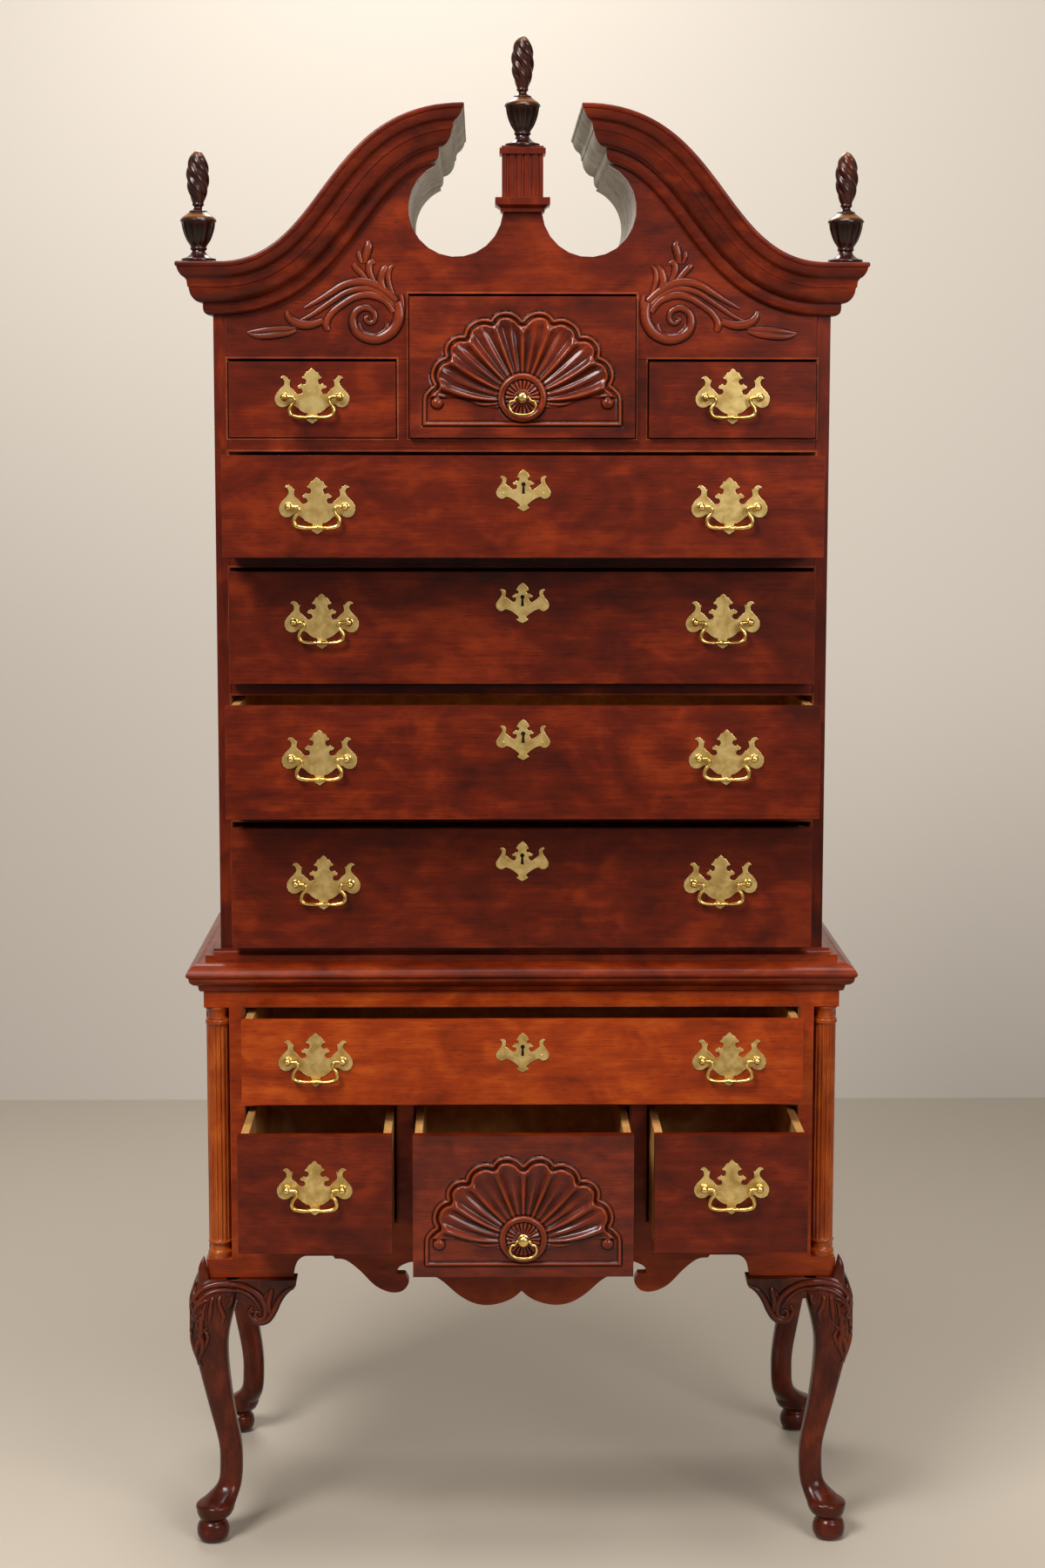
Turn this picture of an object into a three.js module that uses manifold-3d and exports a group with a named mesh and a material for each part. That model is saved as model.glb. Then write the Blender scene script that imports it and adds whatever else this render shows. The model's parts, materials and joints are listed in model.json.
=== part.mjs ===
// Highboy: a two-part chest of drawers on cabriole legs, under a broken swan-neck pediment.
// Millimetres, X to the right, Y to the back, Z up. While the pieces are made, the front of the
// upper case lies in the plane Y = 0 and the floor in the plane Z = 0; at the end the group is moved
// so that its origin is the bottom centre of its box. The drawers stand partly open, as in use.

import * as THREE from 'three';
import { mergeVertices } from 'three/addons/utils/BufferGeometryUtils.js';
import Module from 'manifold-3d';

const wasm = await Module();
wasm.setup();

// Fits
const SEAT_GAP = 0.3; // between pieces that rest on or against each other
const LAP = 1; // how far glued members of one piece run into each other
const OVERRUN = 4; // how far a carving or a cutter runs into the wood behind it
const WELD = 0.01; // corners nearer than this are one
const CURVE_STEPS = 3; // between two points of a curved outline

// Cases
const UPPER_DEPTH = 478;
const CASE_STEP = 25; // the lower case is larger than the upper one by this, in front and on each side
const SIDE_BOARD = 20.5;
const LOWER_SIDE_BOARD = 20;
const BACK_BOARD = 12;
const CASE_BOARD = 16; // top and bottom boards
const FRAME_DEPTH = 22; // rails and dividers, front to back
const RUNNER_WIDTH = 40;
const REAR_POST = 12;

// Heights of the lower case
const LEG_HEIGHT = 427;
const SMALL_SILL = 88; // case bottom to the openings of the small side drawers
const CENTRE_SILL = 51.5; // case bottom to the opening of the shell drawer
const SMALL_TOP = 273; // case bottom to the top of the three small openings
const LOWER_RAIL = 20;
const LOWER_LONG_OPENING = 135;
const LOWER_TOP_RAIL = 50;

// Widths of the lower case
const LOWER_LONG_WIDTH = 855;
const LOWER_CENTRE_WIDTH = 333;
const LOWER_DIVIDER = 28;
const CORNER_STILE = 24; // between the long opening and the column recess
const CORNER_POST = 20;

// Heights and widths of the upper case
const SILL_RISE = 5; // waist moulding to the lowest opening
const LONG_OPENINGS = [190, 175, 175, 155]; // lowest first
const UPPER_RAIL = 20;
const TOP_SIDE_OPENING = 119;
const TOP_CENTRE_OPENING = 216;
const TOP_CENTRE_WIDTH = 343;
const TOP_DIVIDER = 18;
const CASE_HEADROOM = 8; // over the opening of the upper shell drawer

// Drawers
const DRAWER_GAP = 1.5; // beside and under each front
const DRAWER_HEAD_GAP = 4; // over each front
const DRAWER_FRONT = 20;
const DRAWER_SIDE = 12;
const DRAWER_BACK = 12;
const DRAWER_BOTTOM = 7;
const BOTTOM_RISE = 8; // underside of the sides to the bottom board
const SIDE_INSET = 2; // the box is narrower than its front by this on each side
const SIDE_HEAD = 6; // the sides stop this far below the top of the front
const BACK_HEAD = 14; // the back stops this far below the sides
const LAP_JOINT = 12; // how far the sides run into the front
const REAR_SPACE = 21; // behind a closed drawer

// How far each drawer stands open from the face of its case
const OPEN_LONG = [44, 127, 39, 135]; // lowest first
const OPEN_TOP_LEFT = 3;
const OPEN_TOP_CENTRE = 12;
const OPEN_TOP_RIGHT = 10;
const OPEN_LOWER_LONG = 83;
const OPEN_LOWER_SMALL = 175;

// Corner columns, each in a square recess in a front corner of the lower case
const COLUMN_RADIUS = 18.6; // of the cap and the base
const COLUMN_GAP = 0.65; // between the cap or the base and the recess
const COLUMN_SHAFT_STEP = 2.1; // the shaft is slimmer than the cap by this
const COLUMN_FLUTES = 8;
const COLUMN_FLUTE_DEPTH = 1.8;
const COLUMN_BLOCK_LOW = 30;
const COLUMN_BLOCK_HIGH = 50;
const COLUMN_CAPITAL = 31;
const COLUMN_BASE = 30;

// Waist moulding
const WAIST_HEIGHT = 64;
const WAIST_FALL = 24; // how far it laps over the lower case
const WAIST_OVERHANG = 25; // beyond the faces of the lower case

// Aprons
const APRON_OUTSET = 6; // the apron starts this far outside the tips of the knee brackets
const APRON_DROP = 46; // the lowest point of the apron, below the case
const SIDE_APRON_RISE = 26;
const SIDE_APRON_END = 120; // from each end of the side board to its arch

// Legs
const LEG_POINTS = 10; // round each ring
const KNEE_PROUD = 30; // how far the knee stands out from the case
const BRACKET_LENGTH = 140; // from the corner of the case along the apron
const BRACKET_DROP = 71;
const BRACKET_PROUD = 12;
const BRACKET_THICKNESS = 36;

// Cornice
const CORNICE_RISE = 45.5; // its level ends, above the opening of the upper shell drawer
const CORNICE_HEIGHT = 78;
const CORNICE_REACH = 51.5;
const SWAN_RISE = 231.5; // from the level ends to the necks
const SWAN_START_INSET = 13; // from the side of the case to where the cornice starts to climb
const SWAN_NOSE_X = 87; // inner end of the cornice, at its nose
const SWAN_STEPS = 10;
const NECK_STEPS = 2;
const ROOF_BOARD = 10;
const ROOF_REBATE = 1.5; // the roof boards lie this far below the top of the cornice
const HOOD_BACK = 8;

// Tympanum board
const BOARD_THICKNESS = 20;
const SCROLL_RADIUS = 71; // the round cut beside the plinth
const SCROLL_CENTRE_X = 100;
const SCROLL_CENTRE_RISE = 80.5; // above the level ends of the cornice
const SCROLL_STEPS = 16;
const TONGUE_RISE = 74.7; // top of the tongue between the cuts, above the level ends
const LINER = 12;

// Plinth
const PLINTH_WIDTH = 61.5;
const PLINTH_DEPTH = 44;
const PLINTH_HEIGHT = 64;
const PLINTH_FLUTES = 5;
const PLINTH_FLUTE_DEPTH = 2.4;
const PLINTH_CAP_WIDTH = 68.8;
const PLINTH_CAP = 9;
const PLINTH_LIP = 3;
const PLINTH_PLATE_WIDTH = 82;
const PLINTH_PLATE = 11;
const PLINTH_COVE_WIDTH = 66;
const PLINTH_COVE = 10;

// Finials
const FINIAL_HEIGHT = 162.5;
const FINIAL_RADIUS = 27;
const FINIAL_POINTS = 10; // round each ring
const FLAME_TURNS = 0.62; // twist of the flame from the collar to the tip
const FINIAL_SIDE_OUTSET = 18; // side finials, from the side of the upper case
const FINIAL_FRONT_OUTSET = 22; // side finials, from its front

// Shells on the two centre drawers, at the size of the upper one
const SHELL_RADIUS = 148;
const SHELL_TOP_SHARE = 0.885; // radius straight up, as a share of the radius at the sides
const SHELL_LOBES = 9;
const SHELL_LOBE_ANGLE = 20.5; // degrees
const SHELL_LOBE_STEPS = 4;
const SHELL_NOTCH = 12; // depth of the valleys in the edge
const SHELL_RELIEF = 7;
const SHELL_HUB_RADIUS = 36.5;
const SHELL_HUB_RISE = 60; // middle of the hub above the bottom of the front
const SHELL_BAND = 10;
const SHELL_BAND_RISE = 17; // bottom band above the bottom of the front
const SHELL_BAND_RELIEF = 3;
const SHELL_SIDES = 14;
const UPPER_SHELL_SCALE = 1;
const LOWER_SHELL_SCALE = 0.98;

// Bail handles
const PLATE_WIDTH = 113;
const PLATE_HEIGHT = 83.5;
const PLATE_THICKNESS = 1.6;
const POST_SPACING = 83;
const POST_HEAD_RADIUS = 5.6;
const POST_STEM_RADIUS = 3.4;
const POST_REACH = 18;
const POST_SIDES = 5;
const PIVOT_REACH = 12; // from the drawer front to the pins
const PIN_CLEARANCE = 0.35;
const PIN_END_PLAY = 1;
const BAIL_RADIUS = 2.3;
const BAIL_DROP = 31;
const BAIL_SIDES = 5;
const LONG_HANDLE_INSET = 141.5; // from the ends of the long upper openings to the handle centres
const LOWER_HANDLE_INSET = 114;
const LONG_HANDLE_RISES = [8, 7, 9, 0]; // pins above the middle of each front, lowest first
const TOP_HANDLE_RISE = 4;
const LOWER_LONG_HANDLE_RISE = 4;
const LOWER_SMALL_HANDLE_RISE = 10;

// Ring pulls
const PULL_WIDTH = 41;
const PULL_DROP = 27;
const PULL_RADIUS = 1.9;
const PULL_HEAD_RADIUS = 8.5;
const PULL_REACH = 16;
const PULL_PIVOT_REACH = 10.5;
const PULL_POST_SIDES = 10;

// Finishes
const finish = (color, roughness, metalness) => ({ color, roughness, metalness });
const MAHOGANY = finish(0x6a2413, 0.34, 0);
const CARVED_MAHOGANY = finish(0x3c140c, 0.36, 0);
const BRASS = finish(0xb8964a, 0.28, 1);

// Places that follow from the sizes above
const COLUMN_RECESS = 2 * (COLUMN_RADIUS + COLUMN_GAP);
const RECESS_HALF = LOWER_LONG_WIDTH / 2 + CORNER_STILE;
const LOWER_HALF = RECESS_HALF + COLUMN_RECESS;
const LOWER_FACE = -CASE_STEP;
const UPPER_WIDTH = 2 * (LOWER_HALF - CASE_STEP);
const UPPER_HALF = UPPER_WIDTH / 2;
const INNER_HALF = UPPER_HALF - SIDE_BOARD;
const BACK_FACE = UPPER_DEPTH - BACK_BOARD; // inner face of both back boards
const UPPER_DRAWER_LENGTH = BACK_FACE - REAR_SPACE;
const LOWER_DRAWER_LENGTH = BACK_FACE - LOWER_FACE - REAR_SPACE;
const APRON_HALF_WIDTH = LOWER_HALF - BRACKET_LENGTH + APRON_OUTSET;
const WAIST_REACH = CASE_STEP + WAIST_OVERHANG;
const LONG_HANDLE_X = INNER_HALF - LONG_HANDLE_INSET;
const LOWER_HANDLE_X = LOWER_LONG_WIDTH / 2 - LOWER_HANDLE_INSET;
const LOWER_SIDE_SILL = LEG_HEIGHT + SMALL_SILL;
const LOWER_CENTRE_SILL = LEG_HEIGHT + CENTRE_SILL;
const LOWER_SMALL_HEAD = LEG_HEIGHT + SMALL_TOP;
const LOWER_LONG_SILL = LOWER_SMALL_HEAD + LOWER_RAIL;
const LOWER_LONG_HEAD = LOWER_LONG_SILL + LOWER_LONG_OPENING;
const LOWER_TOP = LOWER_LONG_HEAD + LOWER_TOP_RAIL;
const UPPER_BOTTOM = LOWER_TOP + SEAT_GAP;
const LOWEST_SILL = LOWER_TOP + WAIST_HEIGHT - WAIST_FALL + SILL_RISE;
const openingsBelow = (row) => LONG_OPENINGS.slice(0, row).reduce((sum, rise) => sum + rise + UPPER_RAIL, 0);
const LONG_SILLS = LONG_OPENINGS.map((height, row) => LOWEST_SILL + openingsBelow(row));
const TOP_SILL = LOWEST_SILL + openingsBelow(LONG_OPENINGS.length);
const TOP_SIDE_WIDTH = INNER_HALF - TOP_CENTRE_WIDTH / 2 - TOP_DIVIDER;
const TOP_SIDE_X = INNER_HALF - TOP_SIDE_WIDTH / 2;
const LOWER_SIDE_WIDTH = LOWER_LONG_WIDTH / 2 - LOWER_CENTRE_WIDTH / 2 - LOWER_DIVIDER;
const LOWER_SIDE_X = LOWER_LONG_WIDTH / 2 - LOWER_SIDE_WIDTH / 2;
const CASE_TOP = TOP_SILL + TOP_CENTRE_OPENING + CASE_HEADROOM + CASE_BOARD;
const CORNICE_TOP = TOP_SILL + TOP_CENTRE_OPENING + CORNICE_RISE;
const NECK_TOP = CORNICE_TOP + SWAN_RISE;
const NECK_FACE = SWAN_NOSE_X + CORNICE_REACH; // ends of the tympanum board, where the necks return
const SWAN_START_X = UPPER_HALF - SWAN_START_INSET;
const SWAN_RUN = SWAN_START_X - SWAN_NOSE_X;
const ROOF_UNDERSIDE = ROOF_REBATE + ROOF_BOARD; // below the top of the cornice
const SCROLL_CENTRE_Z = CORNICE_TOP + SCROLL_CENTRE_RISE;
const TONGUE_TOP = CORNICE_TOP + TONGUE_RISE;

// Pulls of the climbing curve at its level end and at its neck, as shares of its run
const SWAN_HANDLE_SHARES = { low: 0.4384, high: 0.589 };

// Section of the waist moulding, top to bottom, as shares of its reach and height
const WAIST_SHARES = [
  [0.2, 1], [0.2, 0.89], [0.44, 0.87], [0.44, 0.73], [0.64, 0.7], [0.85, 0.59],
  [1, 0.44], [0.92, 0.34], [0.74, 0.2], [0.64, 0.05], [0.57, 0],
];

// Section of the cornice, top to bottom, as shares of its reach and height
const CORNICE_SHARES = [
  [0, 0], [0.97, 0], [1, 0.05], [0.92, 0.155], [0.83, 0.25], [0.7, 0.32], [0.67, 0.47],
  [0.55, 0.69], [0.36, 0.77], [0.26, 0.79], [0.24, 0.9], [0.17, 0.98], [0, 1],
];

// Lower edge of the front apron from its end to the middle, as shares of its half width and drop;
// each entry is a curved stretch or one corner
const APRON_SHARES = [
  [[1, 0], [0.994, 0.28], [0.98, 0.57], [0.955, 0.72], [0.93, 0.74]],
  [[0.826, 0.74]],
  [
    [0.817, 0.64], [0.77, 0.59], [0.708, 0.22], [0.643, -0.3],
    [0.575, -0.54], [0.521, -0.485], [0.494, -0.18], [0.51, 0.1],
  ],
  [[0.548, 0.11], [0.537, 0.34], [0.499, 0.49], [0.478, 0.52]],
  [[0.385, 0.52]],
  [
    [0.385, 0.03], [0.343, -0.18], [0.281, -0.61], [0.216, -0.91],
    [0.149, -1], [0.084, -0.91], [0.034, -0.73], [0, -0.5],
  ],
];

// Outline of a knee bracket, as shares of its length and drop
const BRACKET_SHARES = [
  [0.207, 0], [0.207, -0.6], [0.3, -0.45], [0.436, -0.56], [0.482, -0.66], [0.464, -0.82], [0.514, -0.96],
  [0.617, -1], [0.707, -0.91], [0.8, -0.6], [0.871, -0.31], [0.986, -0.155], [1, 0],
];

// Rings up a leg: share of its height, then centre and half width as shares of the knee's
// projection, then how square the ring is
const LEG_SHARES = [
  [0, 0.13, 0.5, 2], [0.018, 0.13, 0.78, 2], [0.046, 0.13, 0.85, 2], [0.079, 0.13, 0.66, 2],
  [0.1, 0.2, 0.88, 2], [0.134, 0.27, 1.01, 2], [0.157, 0.6, 0.8, 2.1], [0.2, 0.95, 0.62, 2.3],
  [0.27, 1.05, 0.6, 2.5], [0.36, 1, 0.6, 2.6], [0.5, 0.64, 0.65, 2.7], [0.65, 0.31, 0.77, 2.8],
  [0.76, 0.15, 0.95, 3], [0.84, 0.19, 1.19, 3.2], [0.93, 0.36, 1.22, 3.6], [1, 0.62, 1.05, 5],
];

// Base and capital of a column, from the ends inwards, as shares of their radius and height
const COLUMN_BASE_SHARES = [[1, 0], [1, 0.25], [0.85, 0.5], [0.98, 0.7], [0.98, 0.9]];
const COLUMN_CAPITAL_SHARES = [[1, 0], [1, 0.16], [0.8, 0.5], [0.98, 0.66], [0.98, 0.88]];

// Rings up a finial, as shares of its height and radius, then fluting share, then share of the twist
const FINIAL_SHARES = [
  [0, 0.96, 0, 0], [0.027, 0.96, 0, 0], [0.04, 0.7, 0, 0], [0.1, 0.37, 0, 0], [0.14, 0.45, 0, 0],
  [0.24, 0.84, 0.09, 0], [0.35, 0.96, 0.09, 0], [0.362, 1, 0, 0], [0.378, 1, 0, 0], [0.44, 0.48, 0, 0],
  [0.49, 0.22, 0, 0], [0.51, 0.32, 0, 0], [0.535, 0.27, 0, 0], [0.62, 0.52, 0.16, 0.16],
  [0.72, 0.64, 0.16, 0.42], [0.82, 0.61, 0.16, 0.66], [0.91, 0.42, 0.16, 0.86], [1, 0.07, 0, 1],
];

// Rings of the shell from the hub to the edge: share of the way out, height share, rib share
const SHELL_SHARES = [[0, 0.25, 0], [0.35, 0.5, 0.12], [0.7, 0.68, 0.3], [0.93, 0.8, 0.2], [1, 0.3, 0]];
const SHELL_HUB_INNER_SHARE = 0.8; // where the ribs start, as a share of the hub's radius

// Ring and boss of the shell's hub, as shares of its radius and of the relief
const SHELL_HUB_SHARES = [[1, 0.6], [0.9, 1.1], [0.75, 0.5], [0.3, 0.7], [0, 0.7]];

// Half of a backplate's outline, top to bottom, as shares of its half width and height
const PLATE_SHARES = [
  [0, 0.517], [0.15, 0.444], [0.268, 0.346], [0.16, 0.28], [0.391, 0.18], [0.25, 0.1], [0.399, 0.054],
  [0.594, 0.18], [0.6, 0.32], [0.74, 0.385], [0.848, 0.337], [0.74, 0.24], [0.95, 0.06], [0.99, -0.1],
  [0.82, -0.19], [0.601, -0.132], [0.399, -0.19], [0.138, -0.298], [0.145, -0.42], [0, -0.483],
];

// A post from the drawer to its head, as shares of its reach
const POST_SHARES = [['stem', 0], ['head', 0.4], ['head', 0.9]];

// A ring's post from the drawer to its dome, as shares of its radius and reach
const PULL_POST_SHARES = [[0, 0], [1, 0], [1, 0.8], [0.6, 1], [0, 1]];

// Half of a bail from its pin to the middle of its grip, as shares of the post spacing and the drop
const BAIL_SHARES = [
  [0.5, 0], [0.4, 0], [0.3, -0.1], [0.338, -0.38], [0.402, -0.64], [0.378, -0.906], [0.289, -1],
];

// Half of a ring pull from its pin to the bottom, as shares of its width and drop
const PULL_SHARES = [
  [0.15, 0], [0.25, 0], [0.3, -0.2], [0.45, -0.27], [0.5, -0.52], [0.4, -0.85], [0.16, -1],
];

const highboy = new THREE.Group();
highboy.name = 'highboy';

// SOLIDS AND SHAPES

function signedVolume(geometry) {
  const { position } = geometry.attributes;
  const index = geometry.index.array;
  const corner = (k) => new THREE.Vector3().fromBufferAttribute(position, index[k]);
  let volume = 0;
  for (let i = 0; i < index.length; i += 3) {
    volume += corner(i).dot(corner(i + 1).cross(corner(i + 2)));
  }
  return volume;
}

// A bare copy with shared corners, no collapsed triangles and its skin outwards
function closedCopy(geometry) {
  const bare = geometry.clone();
  bare.deleteAttribute('normal');
  bare.deleteAttribute('uv');
  const whole = mergeVertices(bare, WELD);
  const index = [];
  for (let i = 0; i < whole.index.count; i += 3) {
    const triangle = [...whole.index.array.slice(i, i + 3)];
    if (new Set(triangle).size === 3) {
      index.push(...triangle);
    }
  }
  whole.setIndex(index);
  return signedVolume(whole) < 0 ? turnedOver(whole) : whole;
}

function turnedOver(geometry) {
  const index = [...geometry.index.array];
  for (let i = 0; i < index.length; i += 3) {
    [index[i], index[i + 1]] = [index[i + 1], index[i]];
  }
  geometry.setIndex(index);
  return geometry;
}

// A closed geometry as a solid that can be joined and cut
function solidOf(geometry) {
  const whole = closedCopy(geometry);
  return new wasm.Manifold(new wasm.Mesh({
    numProp: 3,
    vertProperties: new Float32Array(whole.attributes.position.array),
    triVerts: new Uint32Array(whole.index.array),
  }));
}

function geometryOf(solid) {
  const mesh = solid.getMesh();
  const geometry = new THREE.BufferGeometry();
  geometry.setAttribute('position', new THREE.BufferAttribute(new Float32Array(mesh.vertProperties), 3));
  geometry.setIndex([...mesh.triVerts]);
  return closedCopy(geometry);
}

const joined = (geometries) => geometryOf(geometries.map(solidOf).reduce((whole, solid) => whole.add(solid)));

const cut = (geometry, cutter) => geometryOf(solidOf(geometry).subtract(solidOf(cutter)));

// A box between two corners
function block([x0, y0, z0], [x1, y1, z1]) {
  const geometry = new THREE.BoxGeometry(Math.abs(x1 - x0), Math.abs(y1 - y0), Math.abs(z1 - z0));
  geometry.translate((x0 + x1) / 2, (y0 + y1) / 2, (z0 + z1) / 2);
  return geometry;
}

// The same box on both sides of the middle
const blockPair = ([x0, y0, z0], [x1, y1, z1]) => [-1, 1].map((side) => block(
  [side * x0, y0, z0],
  [side * x1, y1, z1],
));

// A copy turned over in X or Y and moved
function placedCopy(geometry, [flipX, flipY], [x, y, z]) {
  const copy = geometry.clone();
  copy.scale(flipX, flipY, 1);
  copy.translate(x, y, z);
  return closedCopy(copy);
}

const mirrored = (geometry) => placedCopy(geometry, [-1, 1], [0, 0, 0]);

// Points of an outline whose longer stretches are curved
const outlineOf = (stretches) => stretches.flatMap((stretch) => {
  if (stretch.length === 1) {
    return stretch;
  }
  const curve = new THREE.SplineCurve(stretch.map(([x, y]) => new THREE.Vector2(x, y)));
  return curve.getPoints(CURVE_STEPS * (stretch.length - 1)).map(({ x, y }) => [x, y]);
});

const flatShape = (points) => new THREE.Shape(points.map(([x, y]) => new THREE.Vector2(x, y)));

const rectangle = ([x0, z0], [x1, z1]) => new THREE.Path(
  [[x0, z0], [x1, z0], [x1, z1], [x0, z1]].map(([x, z]) => new THREE.Vector2(x, z)),
);

// A shape drawn in X and Z, standing between two depths
function boardXZ(shape, yFront, yBack) {
  const geometry = new THREE.ExtrudeGeometry(shape, { depth: yBack - yFront, bevelEnabled: false });
  geometry.rotateX(Math.PI / 2);
  geometry.translate(0, yBack, 0);
  return geometry;
}

// A shape drawn in Y and Z, standing between two widths
function boardYZ(shape, xLow, xHigh) {
  const geometry = new THREE.ExtrudeGeometry(shape, { depth: xHigh - xLow, bevelEnabled: false });
  geometry.applyMatrix4(new THREE.Matrix4().makeBasis(
    new THREE.Vector3(0, 1, 0),
    new THREE.Vector3(0, 0, 1),
    new THREE.Vector3(1, 0, 0),
  ));
  geometry.translate(xLow, 0, 0);
  return geometry;
}

// A shape drawn in X and Y, standing between two heights
function boardXY(shape, zLow, zHigh) {
  const geometry = new THREE.ExtrudeGeometry(shape, { depth: zHigh - zLow, bevelEnabled: false });
  geometry.translate(0, 0, zLow);
  return geometry;
}

const inXY = (point) => new THREE.Vector2(point.x, point.y);
const inXZ = (point) => new THREE.Vector2(point.x, point.z);
const inYZ = (point) => new THREE.Vector2(point.y, point.z);
const inRadiusAndY = (point) => new THREE.Vector2(Math.hypot(point.x, point.z), point.y);

// Triangles that fill the outline of a ring, wound to suit the skin that leaves it
function capOf(ring, first, flat, atEnd) {
  const outline = ring.map(flat);
  const triangles = THREE.ShapeUtils.triangulateShape(outline, []);
  const asDrawn = THREE.ShapeUtils.isClockWise(outline) !== atEnd;
  return triangles.flatMap(([a, b, c]) => (asDrawn ? [a, b, c] : [a, c, b]).map((k) => first + k));
}

// A closed skin through equal rings of points, filled at both ends
function loft(rings, flat = inXY) {
  const count = rings[0].length;
  const index = [];
  for (let ring = 0; ring + 1 < rings.length; ring += 1) {
    for (let k = 0; k < count; k += 1) {
      const a = ring * count + k;
      const b = ring * count + ((k + 1) % count);
      index.push(a, b, b + count, a, b + count, a + count);
    }
  }
  index.push(...capOf(rings[0], 0, flat, false));
  index.push(...capOf(rings.at(-1), (rings.length - 1) * count, flat, true));
  const geometry = new THREE.BufferGeometry();
  const positions = rings.flat().flatMap((point) => point.toArray());
  geometry.setAttribute('position', new THREE.Float32BufferAttribute(positions, 3));
  geometry.setIndex(index);
  return closedCopy(geometry);
}

// Points in order round a ring, each placed by its share of a full turn
const aroundTurn = (count, place) => Array.from({ length: count }, (_, k) => place(k / count, k));

// A turned piece that points along -Y from the plane Y = 0
function turnedForward(profile, sides) {
  const geometry = new THREE.LatheGeometry(profile.map(([r, out]) => new THREE.Vector2(r, out)), sides);
  geometry.rotateX(Math.PI);
  return closedCopy(geometry);
}

function addPiece(name, geometry, look, place = new THREE.Vector3()) {
  const mesh = new THREE.Mesh(geometry, new THREE.MeshStandardMaterial(look));
  mesh.name = name;
  mesh.position.copy(place);
  highboy.add(mesh);
}

// UPPER CASE

// Sides, back, bottom and top of the upper case
function upperCarcase() {
  const sideTop = CORNICE_TOP - ROOF_UNDERSIDE - SEAT_GAP;
  return joined([
    ...blockPair([INNER_HALF, 0, UPPER_BOTTOM], [UPPER_HALF, UPPER_DEPTH, sideTop]),
    block([-INNER_HALF - LAP, BACK_FACE, UPPER_BOTTOM], [INNER_HALF + LAP, UPPER_DEPTH, CASE_TOP]),
    block(
      [-INNER_HALF - LAP, FRAME_DEPTH + SEAT_GAP, UPPER_BOTTOM],
      [INNER_HALF + LAP, BACK_FACE + LAP, UPPER_BOTTOM + CASE_BOARD],
    ),
    block(
      [-INNER_HALF - LAP, BOARD_THICKNESS + SEAT_GAP, CASE_TOP - CASE_BOARD],
      [INNER_HALF + LAP, BACK_FACE + LAP, CASE_TOP],
    ),
  ]);
}

// Rails, top dividers, runners and rear posts that carry the upper drawers
function upperDrawerFrame() {
  const half = INNER_HALF - SEAT_GAP;
  const rear = BACK_FACE - SEAT_GAP;
  const low = UPPER_BOTTOM + CASE_BOARD + SEAT_GAP;
  const divider = TOP_CENTRE_WIDTH / 2;
  const sills = [...LONG_SILLS, TOP_SILL];
  return joined([
    block([-half, 0, UPPER_BOTTOM], [half, FRAME_DEPTH, LONG_SILLS[0]]),
    ...sills.slice(1).map((sill) => block([-half, 0, sill - UPPER_RAIL], [half, FRAME_DEPTH, sill])),
    ...sills.flatMap((sill) => blockPair(
      [half - RUNNER_WIDTH, FRAME_DEPTH - LAP, sill - UPPER_RAIL],
      [half, rear, sill],
    )),
    ...blockPair([half - RUNNER_WIDTH, rear - REAR_POST, low], [half, rear, TOP_SILL]),
    ...blockPair(
      [divider - RUNNER_WIDTH / 2, FRAME_DEPTH - LAP, TOP_SILL - UPPER_RAIL],
      [divider + TOP_DIVIDER + RUNNER_WIDTH / 2, rear, TOP_SILL],
    ),
    block([-half, rear - REAR_POST, TOP_SILL - UPPER_RAIL], [half, rear, TOP_SILL]),
    ...blockPair(
      [divider, 0, TOP_SILL - LAP],
      [divider + TOP_DIVIDER, FRAME_DEPTH, TOP_SILL + TOP_SIDE_OPENING - SEAT_GAP],
    ),
  ]);
}

// LOWER CASE

// Front of the lower case between the columns, with its scrolled apron and four openings
function lowerFront() {
  const left = outlineOf(APRON_SHARES).map(([x, z]) => [-x * APRON_HALF_WIDTH, LEG_HEIGHT + z * APRON_DROP]);
  const right = left.slice(0, -1).map(([x, z]) => [-x, z]).reverse();
  const shape = flatShape([
    [-RECESS_HALF, LEG_HEIGHT],
    ...left,
    ...right,
    [RECESS_HALF, LEG_HEIGHT],
    [RECESS_HALF, LOWER_TOP],
    [-RECESS_HALF, LOWER_TOP],
  ]);
  const longHalf = LOWER_LONG_WIDTH / 2;
  const centreHalf = LOWER_CENTRE_WIDTH / 2;
  const dividerOuter = centreHalf + LOWER_DIVIDER;
  shape.holes.push(
    rectangle([-longHalf, LOWER_LONG_SILL], [longHalf, LOWER_LONG_HEAD]),
    rectangle([-longHalf, LOWER_SIDE_SILL], [-dividerOuter, LOWER_SMALL_HEAD]),
    rectangle([-centreHalf, LOWER_CENTRE_SILL], [centreHalf, LOWER_SMALL_HEAD]),
    rectangle([dividerOuter, LOWER_SIDE_SILL], [longHalf, LOWER_SMALL_HEAD]),
  );
  return boardXZ(shape, LOWER_FACE, LOWER_FACE + FRAME_DEPTH);
}

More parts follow.
